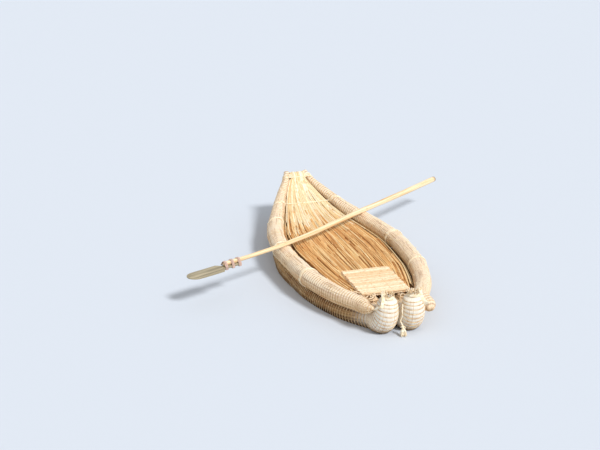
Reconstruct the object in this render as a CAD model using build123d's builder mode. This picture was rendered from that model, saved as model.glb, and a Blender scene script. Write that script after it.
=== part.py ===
"""A small paddled boat of bundled lake reeds.

Two large bundles lie side by side and carry a thinner roll on each shoulder.
Forward they taper and rise to a cut, bound tip. Aft each large bundle bends up
into a horn with a tied tuft. Loose reeds and a mat make the floor.

Millimetres, +X to starboard, +Y to the bow, +Z up. The hull stands on z = 0.
Each bundle is gathered at a row of waists by its lashing and swells between them.
Every cross-section is drawn in a plane square to the spine, the line midway
between the two large bundles.
"""

import os
from math import asin, atan2, cos, degrees, hypot, pi, radians, sin, sqrt

from build123d import *

os.makedirs("parts", exist_ok=True)

# Hull lengths, along Y from midships
bow_reach = 1320
stern_reach = 1150
flat_fore = 350
flat_aft = 450
bow_rise = 390
stern_rise = 60

# Large bundles amidships
bundle_half_width = 256
bundle_half_height = 165
bundle_sides = 16
hull_bays = 8
waist_swell = 5

# Horns at the stern
horn_bend_radius = 165
horn_upright_angle = 88
horn_upright = 50
horn_radius = 72
horn_bays = 3
horn_shoulder_radius = 68
horn_spread = 22
horn_shoulder_depth = 18

# Rolls on the shoulders, which are the gunwales
roll_radius = 72
roll_sides = 10
roll_swell = 4
seat_angle = 45
tail_length = 150
tail_point_radius = 14
tail_point_rise = 30
tail_round_radius = 46
tail_round_drop = 25
tail_clearance = 7

# Lashings, each band standing for a few turns of reed cord
cord_thickness = 7
band_width = 24
roll_cord_thickness = 6
roll_band_width = 20
tie_bays = (2, 4, 6, 7)
tie_width = 16

# Bow tip
tip_length = 46
bow_turns = 3
bow_turn_width = 11
bow_turn_gap = 2
bow_band_thickness = 8

# Floor
floor_thickness = 15
floor_gutter = 46
floor_bevel = 6
mat_half_width = 190
mat_thickness = 26
mat_bevel = 10
mat_aft_reach = 1000
mat_fore_reach = 540
deck_cord_width = 12
deck_cord_height = 16
deck_cord_bevel = 3
deck_cord_reach = 1030
deck_cord_clearance = 2

# Horn tufts
tuft_foot_radius = 54
tuft_waist_radius = 36
tuft_top_radius = 45
tuft_waist_height = 16
tuft_height = 46
tuft_sides = 10
collar_thickness = 8
collar_height = 14
strap_radius = 6
strap_sides = 6

# Paddle: a natural pole with a board lashed to its lower end
pole_length = 2800
pole_sides = 12
pole_rest_gap = 1
pole_port_reach = -60
pole_starboard_reach = 590
blade_length = 470
blade_width = 130
blade_thickness = 18
blade_overlap = 150
blade_neck_width = 60
paddle_band_width = 26
paddle_band_thickness = 6
paddle_bands = 3

# How the bundles taper, from where the horns begin to bend to the bow.
# Columns: share of the reach, of the half width, of the half height, of the roll radius
taper = [
    (-1.00, 0.400, 0.640, 0.80),
    (-0.78, 0.685, 0.820, 0.92),
    (-0.48, 0.895, 0.985, 1.00),
    (-0.39, 0.930, 1.000, 1.00),
    (0.00, 1.000, 1.000, 1.00),
    (0.25, 0.920, 1.000, 1.00),
    (0.40, 0.835, 0.950, 0.98),
    (0.69, 0.560, 0.670, 0.79),
    (0.86, 0.350, 0.430, 0.58),
    (0.96, 0.180, 0.290, 0.43),
    (1.00, 0.140, 0.240, 0.38),
]

# The pole's line. Columns: share of its length, bow sideways, radius
pole_line = [
    (0.00, 110, 17),
    (0.08, 66, 17),
    (0.20, 18, 18),
    (0.34, -4, 20),
    (0.55, 6, 22),
    (0.79, -6, 24),
    (1.00, 0, 25),
]


# Spine and taper


def arc_radius(run, rise):
    """Radius of the arc that starts level and climbs by rise over run."""
    return (run**2 + rise**2) / (2 * rise)


bow_arc = arc_radius(bow_reach - flat_fore, bow_rise)
stern_arc = arc_radius(stern_reach - flat_aft, stern_rise)
horn_start_angle = asin((stern_reach - flat_aft) / stern_arc)
horn_end_angle = radians(horn_upright_angle)
horn_arc_length = horn_bend_radius * (horn_end_angle - horn_start_angle)
horn_length = horn_arc_length + horn_upright


def tapered(share, column):
    """Value of a taper column at a share of the reach, on a smooth curve that never overshoots."""
    xs = [row[0] for row in taper]
    ys = [row[column] for row in taper]
    share = min(max(share, xs[0]), xs[-1])
    steps = [(y1 - y0) / (x1 - x0) for x0, x1, y0, y1 in zip(xs, xs[1:], ys, ys[1:])]
    inner = [2 * p * q / (p + q) if p * q > 0 else 0 for p, q in zip(steps, steps[1:])]
    slopes = [steps[0]] + inner + [steps[-1]]
    i = max(k for k in range(len(steps)) if xs[k] <= share)
    width = xs[i + 1] - xs[i]
    t = (share - xs[i]) / width
    rise = ys[i] * (1 + 2 * t) * (1 - t) ** 2 + ys[i + 1] * t**2 * (3 - 2 * t)
    return rise + width * (slopes[i] * t * (1 - t) ** 2 - slopes[i + 1] * t**2 * (1 - t))


def horn_blend(s):
    """Share of the change from hull to horn that is done at s, slow at first."""
    return min(max((-stern_reach - s) / horn_length, 0), 1) ** 2


def half_apart(s):
    """Distance of a large bundle's centre from the middle. The horns lean a little apart."""
    return sizes(s)[0] + horn_spread * horn_blend(s)


def sizes(s):
    """Half width and half height of a large bundle, and radius of its roll, at s along the spine."""
    share = s / (bow_reach if s > 0 else stern_reach)
    width = bundle_half_width * tapered(share, 1)
    height = bundle_half_height * tapered(share, 2)
    roll = roll_radius * tapered(share, 3)
    if s < -stern_reach:
        blend = horn_blend(s)
        width += (horn_radius - width) * blend
        height += (horn_radius - height) * blend
    return width, height, roll


def spine(s):
    """Y and Z of the spine at s, and its slope. Past the stern reach, s is length along the horn."""
    if s > -stern_reach:
        level = bundle_half_height
        start, arc, sign = (flat_fore, bow_arc, 1) if s > 0 else (flat_aft, stern_arc, -1)
        past = max(abs(s) - start, 0)
        return s, level + arc - sqrt(arc**2 - past**2), sign * asin(past / arc)
    past = -stern_reach - s
    angle = horn_start_angle + min(past, horn_arc_length) / horn_bend_radius
    upright = max(past - horn_arc_length, 0)
    y = -stern_reach - horn_bend_radius * (sin(angle) - sin(horn_start_angle)) - upright * cos(angle)
    z = bundle_half_height + stern_rise + horn_bend_radius * (cos(horn_start_angle) - cos(angle))
    return y, z + upright * sin(angle), -angle


def outline(half_width, half_height, inset, sides, turn=0.0):
    """Corners of a polygon whose sides touch an ellipse, each side moved in by inset."""
    lines = []
    for k in range(sides):
        angle = turn + 2 * pi * k / sides
        nx, ny = cos(angle) / half_width, sin(angle) / half_height
        size = hypot(nx, ny)
        lines.append((nx / size, ny / size, 1 / size - inset))
    corners = []
    for (ax, ay, ad), (bx, by, bd) in zip(lines, lines[1:] + lines[:1]):
        cross = ax * by - ay * bx
        corners.append(((ad * by - bd * ay) / cross, (ax * bd - bx * ad) / cross))
    return corners


# Waists, where the lashings sit, and crests midway between them

hull_pitch = (bow_reach - tip_length + stern_reach) / hull_bays
hull_waists = [-stern_reach + hull_pitch * i for i in range(hull_bays + 1)]
horn_pitch = horn_length / horn_bays
horn_waists = [-stern_reach - horn_pitch * i for i in range(horn_bays - 1, 0, -1)]
waists = horn_waists + hull_waists
crests = [(a + b) / 2 for a, b in zip(waists, waists[1:])]
horn_top = -stern_reach - horn_length
bow_end = bow_reach


def waist_inset(s):
    """How far the waist of a large bundle is drawn in from its crest."""
    return cord_thickness + waist_swell * tapered(s / (bow_reach if s > 0 else stern_reach), 2)


def roll_inset(s):
    """How far the waist of a roll is drawn in from its crest."""
    return roll_cord_thickness + roll_swell * tapered(s / (bow_reach if s > 0 else stern_reach), 3)


def bundle_corners(s, inset, side):
    """Section of the large bundle on one side, -1 for port and 1 for starboard."""
    width, height, _ = sizes(s)
    corners = outline(width, height, inset, bundle_sides)
    return [(side * (x + half_apart(s)), y) for x, y in corners]


def roll_centre(s):
    """Centre of the starboard roll in the section plane, and the direction in which it is seated."""
    width, height, roll = sizes(s)
    angle = radians(seat_angle)
    nx, ny = cos(angle) / width, sin(angle) / height
    size = hypot(nx, ny)
    nx, ny = nx / size, ny / size
    return width + width * cos(angle) + nx * roll, height * sin(angle) + ny * roll, atan2(ny, nx)


def roll_corners(s, inset, side):
    """Section of the roll on one side, with one flat pressed on the large bundle."""
    x, y, seat = roll_centre(s)
    corners = outline(sizes(s)[2], sizes(s)[2], inset, roll_sides, seat + pi)
    return [(side * (x + u), y + v) for u, v in corners]


# Top of a horn. Columns: place along the spine, inset of the section there
horn_end_rows = [
    (horn_top, horn_radius - tuft_foot_radius),
    (horn_top + horn_shoulder_depth, horn_radius - horn_shoulder_radius),
    (horn_top + horn_pitch / 2, 0),
]

# The whole boat is shifted along Y so that its box is centred on the origin

end_rows = horn_end_rows + [(crests[0], 0), (crests[1], 0), (bow_end, waist_inset(bow_end))]
end_reach = [
    spine(s)[0] - y * sin(spine(s)[2]) for s, inset in end_rows for x, y in bundle_corners(s, inset, 1)
]
shift_y = -(min(end_reach) + max(end_reach)) / 2


def section_plane(s, along=0.0):
    """Plane square to the spine at s, moved forward along its own normal."""
    y, z, slope = spine(s)
    forward = (0, cos(slope), sin(slope))
    origin = (0, y + shift_y + along * forward[1], z + along * forward[2])
    return Plane(origin=origin, x_dir=(1, 0, 0), z_dir=(0, -forward[1], -forward[2]))


def finish(piece, label):
    """Name a finished piece and write it."""
    piece.part.label = label
    export_step(piece.part, f"parts/{label}.step")


sides = {"port": -1, "starboard": 1}

# Large bundles and their lashings

bow_band_width = bow_turns * bow_turn_width + (bow_turns - 1) * bow_turn_gap


def waist_rows(s):
    """Where the flat seat of a lashing starts and ends, along the section's normal."""
    width = bow_band_width if s == waists[-1] else band_width
    return -width / 2, width / 2


for side_name, side in sides.items():
    with BuildPart() as main_bundle:
        for s, inset in horn_end_rows:
            with BuildSketch(section_plane(s)):
                Polygon(*bundle_corners(s, inset, side), align=None)
        for s, crest in zip(waists, crests + [None]):
            for along in waist_rows(s):
                with BuildSketch(section_plane(s, along)):
                    Polygon(*bundle_corners(s, waist_inset(s), side), align=None)
            if crest is not None:
                with BuildSketch(section_plane(crest)):
                    Polygon(*bundle_corners(crest, 0, side), align=None)
        with BuildSketch(section_plane(bow_end)):
            Polygon(*bundle_corners(bow_end, waist_inset(bow_end), side), align=None)
        loft(ruled=True)
    finish(main_bundle, f"main_bundle_{side_name}")

    with BuildPart() as main_lashing:
        for s in waists[:-1]:
            with BuildSketch(section_plane(s)):
                Polygon(*bundle_corners(s, waist_inset(s) - cord_thickness, side), align=None)
                Polygon(*bundle_corners(s, waist_inset(s), side), align=None, mode=Mode.SUBTRACT)
        extrude(amount=band_width / 2, both=True)
    finish(main_lashing, f"main_lashing_{side_name}")

# Rolls. Their after ends leave the seat and pass down round the outside of the horns.

start_y, start_z, start_slope = spine(-stern_reach)
start_x, start_n, start_seat = roll_centre(-stern_reach)
tail_start = (
    start_x,
    start_y - start_n * sin(start_slope),
    start_z + start_n * cos(start_slope),
)
bend_centre = (
    -stern_reach + horn_bend_radius * sin(horn_start_angle),
    bundle_half_height + stern_rise + horn_bend_radius * cos(horn_start_angle),
)


def beside_horn(y, z, radius):
    """How far out a round roll lies when it rests on the outside of the horn's bend."""
    back, down = bend_centre[0] - y, bend_centre[1] - z
    angle = atan2(back, down)
    s = -stern_reach - horn_bend_radius * (angle - horn_start_angle)
    reach = sizes(s)[0] + radius
    off = min(abs(hypot(back, down) - horn_bend_radius), reach)
    return half_apart(s) + sqrt(reach**2 - off**2)


def tail_point(t, radius, tip):
    """Centre of the roll's after end, t from 0 at the seat to 1 at its tip."""
    end_radius, drop = tip
    y = tail_start[1] - tail_length * t
    z = tail_start[2] - drop * t**2
    end_x = beside_horn(tail_start[1] - tail_length, tail_start[2] - drop, end_radius)
    straight = tail_start[0] + (end_x - tail_start[0]) * t
    return max(straight, beside_horn(y, z, radius)) + tail_clearance, y, z


def tail_plane(t, radius, tip, side, along=0.0):
    """Section plane of the roll's after end, square to its line."""
    x, y, z = tail_point(t, radius, tip)
    x0, y0, z0 = tail_point(t - 0.1, radius, tip)
    forward = Vector(side * (x0 - x), y0 - y, z0 - z).normalized()
    across = Vector(1, 0, 0).cross(forward).cross(forward) * -1
    origin = Vector(side * x, y + shift_y, z) + forward * along
    return Plane(origin=origin, x_dir=across, z_dir=forward * -1)


# The after ends. Columns: side, radius at the tip, how far the tip drops below the seat
tail_tips = {
    "port": (tail_point_radius, -tail_point_rise),
    "starboard": (tail_round_radius, tail_round_drop),
}

# Rows of an after end. Columns: place along it, share of the way to the tip's radius, waist or not
tail_rows = [
    (0.24, 0.10, False),
    (0.52, 0.35, True),
    (0.72, 0.55, False),
    (0.92, 0.92, True),
]


def tail_size(share, tip):
    """Radius of an after end at a share of the way from its seat to its tip."""
    first = sizes(-stern_reach)[2]
    return first + (tip[0] - first) * share


def tail_corners(radius, inset, side):
    """Section of an after end."""
    corners = outline(radius, radius, inset, roll_sides, start_seat + pi)
    return [(side * x, y) for x, y in corners]


def tie_inset(s):
    """Inset of a tie's outer face, whose thickness reaches the lashing of the large bundle below."""
    return cord_thickness - waist_inset(s)


tie_waists = [hull_waists[i] for i in tie_bays]
gunwales, gunwale_lashings, horn_tufts, horn_collars = {}, {}, {}, {}

for side_name, side in sides.items():
    tip = tail_tips[side_name]
    with BuildPart() as gunwale:
        end_inset = min(roll_cord_thickness, tip[0] / 3)
        with BuildSketch(tail_plane(1.0, tip[0], tip, side)):
            Polygon(*tail_corners(tip[0], end_inset, side), align=None)
        for t, share, waist in reversed(tail_rows):
            radius = tail_size(share, tip)
            steps = (-roll_band_width / 2, roll_band_width / 2) if waist else (0,)
            inset = roll_cord_thickness if waist else 0
            for along in steps:
                with BuildSketch(tail_plane(t, radius, tip, side, along)):
                    Polygon(*tail_corners(radius, inset, side), align=None)
        hull_crests = crests[-hull_bays:]
        for s, crest in zip(hull_waists, hull_crests + [None]):
            for along in waist_rows(s):
                with BuildSketch(section_plane(s, along)):
                    Polygon(*roll_corners(s, roll_inset(s), side), align=None)
            if crest is not None:
                with BuildSketch(section_plane(crest)):
                    Polygon(*roll_corners(crest, 0, side), align=None)
        with BuildSketch(section_plane(bow_end)):
            Polygon(*roll_corners(bow_end, roll_inset(bow_end), side), align=None)
        loft(ruled=True)
    finish(gunwale, f"gunwale_{side_name}")
    gunwales[side_name] = gunwale.part

    with BuildPart() as gunwale_lashing:
        for s in hull_waists[:-1]:
            if s not in tie_waists:
                with BuildSketch(section_plane(s)):
                    outer = roll_inset(s) - roll_cord_thickness
                    Polygon(*roll_corners(s, outer, side), align=None)
                    Polygon(*roll_corners(s, roll_inset(s), side), align=None, mode=Mode.SUBTRACT)
        for t, share, waist in tail_rows:
            if waist:
                radius = tail_size(share, tip)
                with BuildSketch(tail_plane(t, radius, tip, side)):
                    Polygon(*tail_corners(radius, 0, side), align=None)
                    inner = tail_corners(radius, roll_cord_thickness, side)
                    Polygon(*inner, align=None, mode=Mode.SUBTRACT)
        extrude(amount=roll_band_width / 2, both=True)
    finish(gunwale_lashing, f"gunwale_lashing_{side_name}")
    gunwale_lashings[side_name] = gunwale_lashing.part

    # Ties hold each roll down on the lashing of the large bundle below it
    with BuildPart() as gunwale_ties:
        for s in tie_waists:
            with BuildSketch(section_plane(s)):
                Polygon(*roll_corners(s, tie_inset(s), side), align=None)
                Polygon(*roll_corners(s, roll_inset(s), side), align=None, mode=Mode.SUBTRACT)
        extrude(amount=tie_width / 2, both=True)
    finish(gunwale_ties, f"gunwale_ties_{side_name}")

# Bow binding, drawn tight round all four bundles

tip_waist = waists[-1]
with BuildSketch() as tip_section:
    for side in sides.values():
        Polygon(*bundle_corners(tip_waist, waist_inset(tip_waist), side), align=None)
        Polygon(*roll_corners(tip_waist, roll_inset(tip_waist), side), align=None)
    make_hull()

with BuildPart() as bow_binding:
    for i in range(bow_turns):
        along = (i - (bow_turns - 1) / 2) * (bow_turn_width + bow_turn_gap)
        with BuildSketch(section_plane(tip_waist, along)):
            add(tip_section.sketch)
            offset(amount=bow_band_thickness, kind=Kind.INTERSECTION)
            add(tip_section.sketch, mode=Mode.SUBTRACT)
    extrude(amount=bow_turn_width / 2, both=True)
finish(bow_binding, "bow_binding")

# Floor of loose reeds on the crowns of the large bundles, and the mat on it


def slab_corners(half_width, bottom, thickness, bevel):
    """Section of a flat layer with its upper edges bevelled."""
    top = bottom + thickness
    right = [(half_width, bottom), (half_width, top - bevel), (half_width - bevel, top)]
    return right + [(-x, y) for x, y in reversed(right)]


def floor_half_width(s):
    """Half width of the floor, which leaves a gutter beside each roll that narrows to the bow."""
    x, _, _ = roll_centre(s)
    roll = sizes(s)[2]
    return x - roll - floor_gutter * (roll / roll_radius) ** 2


def crown(s):
    """Height of the large bundles' crest above the spine."""
    return sizes(s)[1]


floor_end = tip_waist - bow_band_width
with BuildPart() as floor_reeds:
    for s in hull_crests + [floor_end]:
        with BuildSketch(section_plane(s)):
            corners = slab_corners(floor_half_width(s), crown(s), floor_thickness, floor_bevel)
            Polygon(*corners, align=None)
    loft(ruled=True)
finish(floor_reeds, "floor_reeds")

# The mat is flat, so it lies on the highest of the floor's crests round it
mat_aft, mat_fore = -mat_aft_reach, -mat_fore_reach
mat_bottom = max(
    spine(s)[1] + (crown(s) + floor_thickness) * cos(spine(s)[2])
    for s in hull_crests
    if mat_aft - hull_pitch < s + shift_y < mat_fore + hull_pitch
)
with BuildPart() as seat_mat:
    with BuildSketch(Plane.XY.offset(mat_bottom)):
        with Locations((0, (mat_aft + mat_fore) / 2)):
            Rectangle(2 * mat_half_width, mat_fore - mat_aft)
    extrude(amount=mat_thickness)
    chamfer(seat_mat.faces().sort_by(Axis.Z)[-1].edges(), length=mat_bevel)
finish(seat_mat, "seat_mat")


def tie_inner_x(s, n):
    """Inner edge of the starboard tie at height n above the spine."""
    corners = roll_corners(s, tie_inset(s), 1)
    found = []
    for (x0, y0), (x1, y1) in zip(corners, corners[1:] + corners[:1]):
        if (y0 - n) * (y1 - n) < 0:
            found.append(x0 + (x1 - x0) * (n - y0) / (y1 - y0))
    return min(found)


# A cord from tie to tie over the floor near the bow
cord_waist = min(tie_waists, key=lambda s: abs(s - deck_cord_reach))
cord_bottom = crown(cord_waist) + floor_thickness
cord_top = cord_bottom + deck_cord_height
cord_half = min(tie_inner_x(cord_waist, cord_bottom), tie_inner_x(cord_waist, cord_top))
with BuildPart() as deck_cord:
    with BuildSketch(section_plane(cord_waist)):
        half = cord_half - deck_cord_clearance
        Polygon(*slab_corners(half, cord_bottom, deck_cord_height, deck_cord_bevel), align=None)
    extrude(amount=deck_cord_width / 2, both=True)
    add(floor_reeds.part, mode=Mode.SUBTRACT)
finish(deck_cord, "deck_cord")

# Tufts of reed ends tied off on top of the horns

flare_height = tuft_height - tuft_waist_height - collar_height
foot_taper = degrees(atan2(tuft_foot_radius - tuft_waist_radius, tuft_waist_height))
top_taper = degrees(atan2(tuft_top_radius - tuft_waist_radius, flare_height))

horn_plane = section_plane(horn_top)
horn_x = half_apart(horn_top)

for side_name, side in sides.items():
    with BuildPart() as horn_tuft:
        with BuildSketch(horn_plane):
            with Locations((side * horn_x, 0)):
                RegularPolygon(tuft_foot_radius, tuft_sides, major_radius=False)
        extrude(amount=tuft_waist_height, taper=foot_taper)
        with BuildSketch(horn_plane.offset(tuft_waist_height)):
            with Locations((side * horn_x, 0)):
                RegularPolygon(tuft_waist_radius, tuft_sides, major_radius=False)
        extrude(amount=collar_height)
        with BuildSketch(-horn_plane.offset(tuft_height)):
            with Locations((side * horn_x, 0)):
                RegularPolygon(tuft_top_radius, tuft_sides, major_radius=False)
        extrude(amount=flare_height, taper=top_taper)
    finish(horn_tuft, f"horn_tuft_{side_name}")
    horn_tufts[side_name] = horn_tuft.part

    with BuildPart() as horn_collar:
        with BuildSketch(horn_plane.offset(tuft_waist_height)):
            with Locations((side * horn_x, 0)):
                outer = tuft_waist_radius + collar_thickness
                RegularPolygon(outer, tuft_sides, major_radius=False)
                RegularPolygon(tuft_waist_radius, tuft_sides, major_radius=False, mode=Mode.SUBTRACT)
        extrude(amount=collar_height)
    finish(horn_collar, f"horn_collar_{side_name}")
    horn_collars[side_name] = horn_collar.part

# Straps that hold the after ends of the rolls up to the horns' collars

horn_y, horn_z, _ = spine(horn_top)
last_waist = tail_rows[-1]

for side_name, side in sides.items():
    tip = tail_tips[side_name]
    radius = tail_size(last_waist[1], tip)
    tail_x, tail_y, tail_z = tail_point(last_waist[0], radius, tip)
    clear_x = horn_x + horn_shoulder_radius + 3 * strap_radius + tail_clearance
    collar_x = horn_x + tuft_waist_radius + collar_thickness / 2
    with BuildPart() as stern_strap:
        with BuildLine():
            strap_line = Polyline(
                (side * tail_x, tail_y + shift_y, tail_z),
                (side * clear_x, horn_y + shift_y, horn_z - horn_shoulder_depth),
                (side * collar_x, horn_y + shift_y, horn_z + tuft_waist_height + collar_height / 2),
            )
        with BuildSketch(Plane(origin=strap_line @ 0, z_dir=strap_line % 0)):
            RegularPolygon(strap_radius, strap_sides)
        sweep(transition=Transition.RIGHT)
        add(gunwales[side_name], mode=Mode.SUBTRACT)
        add(gunwale_lashings[side_name], mode=Mode.SUBTRACT)
        add(horn_tufts[side_name], mode=Mode.SUBTRACT)
        add(horn_collars[side_name], mode=Mode.SUBTRACT)
    finish(stern_strap, f"stern_strap_{side_name}")

# Paddle, laid on both rolls


def section_top(s, inset, side):
    """Highest point of a roll in the section at s."""
    y, z, slope = spine(s)
    n = max(corner[1] for corner in roll_corners(s, inset, side))
    return Vector(roll_centre(s)[0] * side, y - n * sin(slope) + shift_y, z + n * cos(slope))


def roll_top(reach, side):
    """Highest point of a roll at a place along the hull, or of a tie that the pole meets there."""
    crest = min(hull_crests, key=lambda s: abs(s - reach))
    waist = min(hull_waists, key=lambda s: abs(s - reach))
    high, low = section_top(crest, 0, side), section_top(waist, roll_inset(waist), side)
    share = abs(reach - crest) / (hull_pitch / 2 - band_width / 2)
    top = high + (low - high) * min(share, 1)
    tie = min(tie_waists, key=lambda s: abs(s - reach))
    if abs(tie - reach) < tie_width / 2 + 2 * pole_line[-1][2]:
        fore_edge = section_top(tie + tie_width / 2, tie_inset(tie), side)
        top = Vector(top.X, top.Y, max(top.Z, fore_edge.Z + pole_rest_gap))
    return top


port_rest = roll_top(pole_port_reach, -1)
starboard_rest = roll_top(pole_starboard_reach, 1)
paddle_forward = (starboard_rest - port_rest).normalized()
paddle_sideways = Vector(-paddle_forward.Y, paddle_forward.X, 0).normalized()
paddle_up = paddle_forward.cross(paddle_sideways)
middle_rest = port_rest - paddle_forward * (port_rest.X / paddle_forward.X) + paddle_up * pole_rest_gap

# The lower end is straight as far as the lashing reaches, and the board lies along it
(_, foot_bow, pole_foot), (bend_share, bend_bow, _) = pole_line[:2]
foot_run = bend_share * pole_length
foot_turn = atan2(foot_bow - bend_bow, foot_run)
foot_forward = paddle_forward * cos(foot_turn) - paddle_sideways * sin(foot_turn)
foot_sideways = paddle_sideways * cos(foot_turn) + paddle_forward * sin(foot_turn)

# The paddle lies as far out to port as to starboard
tip_round = blade_width / 2
tip_offset = (
    paddle_sideways * foot_bow - foot_forward * (blade_length - blade_overlap - tip_round)
).X - tip_round
end_offset = (paddle_forward * pole_length).X + pole_line[-1][2] * abs(paddle_sideways.X)
pole_foot_point = middle_rest - paddle_forward * ((tip_offset + end_offset) / 2 / paddle_forward.X)
foot_point = pole_foot_point + paddle_sideways * foot_bow

with BuildPart() as paddle_pole:
    for share, bow, radius in pole_line:
        forward = foot_forward if share <= bend_share else paddle_forward
        sideways = foot_sideways if share <= bend_share else paddle_sideways
        along = paddle_forward * (share * pole_length) + paddle_sideways * bow
        centre = pole_foot_point + along + paddle_up * radius
        with BuildSketch(Plane(origin=centre, x_dir=sideways, z_dir=forward)):
            Polygon(*outline(radius, radius, 0, pole_sides), align=None)
    loft(ruled=True)
finish(paddle_pole, "paddle_pole")

blade_end = blade_length - blade_overlap
blade_shoulder = blade_overlap / 4
with BuildPart() as paddle_blade:
    with BuildSketch(Plane(origin=foot_point, x_dir=foot_forward, z_dir=paddle_up)):
        with BuildLine():
            Polyline(
                (tip_round - blade_end, -tip_round),
                (-blade_shoulder, -tip_round),
                (0, -blade_neck_width / 2),
                (blade_overlap, -blade_neck_width / 2),
                (blade_overlap, blade_neck_width / 2),
                (0, blade_neck_width / 2),
                (-blade_shoulder, tip_round),
                (tip_round - blade_end, tip_round),
            )
            ThreePointArc(
                (tip_round - blade_end, tip_round), (-blade_end, 0), (tip_round - blade_end, -tip_round)
            )
        make_face()
    extrude(amount=-blade_thickness)
finish(paddle_blade, "paddle_blade")

with BuildSketch() as overlap_section:
    Rectangle(blade_neck_width, blade_thickness, align=(Align.CENTER, Align.MAX))
    Polygon(*[(x, y + pole_foot) for x, y in outline(pole_foot, pole_foot, 0, pole_sides)], align=None)
    make_hull()

band_step = (blade_overlap - paddle_band_width) / (paddle_bands - 1)
with BuildPart() as paddle_lashing:
    for i in range(paddle_bands):
        origin = foot_point + foot_forward * (paddle_band_width / 2 + i * band_step)
        with BuildSketch(Plane(origin=origin, x_dir=foot_sideways, z_dir=foot_forward)):
            add(overlap_section.sketch)
            offset(amount=paddle_band_thickness, kind=Kind.INTERSECTION)
            add(overlap_section.sketch, mode=Mode.SUBTRACT)
    extrude(amount=paddle_band_width / 2, both=True)
finish(paddle_lashing, "paddle_lashing")
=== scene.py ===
"""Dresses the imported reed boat: bound reed bundles, ropes, floor, mat, paddle and a plain stage."""
import random
from math import asin, atan2, ceil, cos, exp, hypot, pi, radians, sin, sqrt, tan

import bpy
from bpy.props import FloatProperty, FloatVectorProperty, IntProperty, PointerProperty
from bpy.types import Operator, Panel, PropertyGroup
from mathutils import Matrix, Vector, noise


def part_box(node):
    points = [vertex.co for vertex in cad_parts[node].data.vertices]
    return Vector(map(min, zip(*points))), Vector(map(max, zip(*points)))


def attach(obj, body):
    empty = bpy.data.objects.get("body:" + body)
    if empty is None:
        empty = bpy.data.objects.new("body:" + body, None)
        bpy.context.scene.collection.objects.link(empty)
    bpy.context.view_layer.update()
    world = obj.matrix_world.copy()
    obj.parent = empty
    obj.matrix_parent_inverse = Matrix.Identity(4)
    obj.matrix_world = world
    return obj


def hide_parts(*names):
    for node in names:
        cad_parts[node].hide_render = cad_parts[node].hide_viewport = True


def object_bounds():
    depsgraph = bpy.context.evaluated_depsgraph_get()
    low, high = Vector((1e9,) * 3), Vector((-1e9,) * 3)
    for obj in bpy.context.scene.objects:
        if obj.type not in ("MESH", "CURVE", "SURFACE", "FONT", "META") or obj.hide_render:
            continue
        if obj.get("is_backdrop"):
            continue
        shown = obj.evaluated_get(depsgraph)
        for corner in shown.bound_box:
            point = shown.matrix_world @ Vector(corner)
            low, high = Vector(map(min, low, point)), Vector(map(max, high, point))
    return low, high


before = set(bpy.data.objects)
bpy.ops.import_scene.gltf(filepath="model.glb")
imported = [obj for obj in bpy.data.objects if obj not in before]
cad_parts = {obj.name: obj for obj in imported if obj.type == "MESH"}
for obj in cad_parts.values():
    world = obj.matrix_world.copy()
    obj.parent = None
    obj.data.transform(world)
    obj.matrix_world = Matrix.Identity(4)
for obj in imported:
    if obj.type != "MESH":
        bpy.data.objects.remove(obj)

bl_info = {
    "name": "Reed Boat",
    "version": (1, 0, 0),
    "blender": (4, 5, 0),
    "location": "View3D > Sidebar > Reed Boat",
    "description": "Builds the reeds, cords, mat and paddle of a small bundle boat round its solids",
    "category": "Add Mesh",
}

CAD_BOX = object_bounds()
PORT, STARBOARD = -1, 1
SIDE_NAMES = {PORT: "port", STARBOARD: "starboard"}


# Hull line and taper, in metres, those of the solids but for where reeds swell or are drawn in

BOW_REACH = 1.320
STERN_REACH = 1.150
FLAT_FORE = 0.350
FLAT_AFT = 0.450
BOW_RISE = 0.390
STERN_RISE = 0.060
HALF_WIDTH = 0.256
HALF_HEIGHT = 0.165
HORN_BEND = 0.165
HORN_END_ANGLE = radians(88)
HORN_UPRIGHT = 0.050
HORN_RADIUS = 0.072
HORN_FOOT_RADIUS = 0.060      # the reeds swell a little over the solid here
HORN_SPREAD = 0.022
HORN_SHOULDER = 0.034
NECK_RADIUS = 0.036
NECK_RISE = 0.016
ROLL_RADIUS = 0.072
SEAT_ANGLE = radians(45)
TAIL_LENGTH = 0.150
TAIL_CLEARANCE = 0.007
TAIL_DRAWN_IN = 0.010         # the straps pull the soft tails in towards the horns
TAIL_TIP_RADIUS = {PORT: 0.014, STARBOARD: 0.046}
TAIL_DROP = {PORT: -0.030, STARBOARD: 0.025}
SHIFT_Y = 0.01372
WATERLINE = 0.160
HULL_BAYS = 8
TIE_BAYS = (2, 4, 6, 7)
TIP_LENGTH = 0.046
FLOOR_THICKNESS = 0.015
FLOOR_GUTTER = 0.046
MIDDLE_GAP = 0.0006           # half the slit between the two large bundles

# Columns: share of the reach, of the half width, of the half height, of the roll radius
TAPER = (
    (-1.00, 0.400, 0.640, 0.80),
    (-0.78, 0.685, 0.820, 0.92),
    (-0.48, 0.895, 0.985, 1.00),
    (-0.39, 0.930, 1.000, 1.00),
    (0.00, 1.000, 1.000, 1.00),
    (0.25, 0.920, 1.000, 1.00),
    (0.40, 0.835, 0.950, 0.98),
    (0.69, 0.560, 0.670, 0.79),
    (0.86, 0.350, 0.430, 0.58),
    (0.96, 0.180, 0.290, 0.43),
    (1.00, 0.140, 0.240, 0.38),
)

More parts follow.
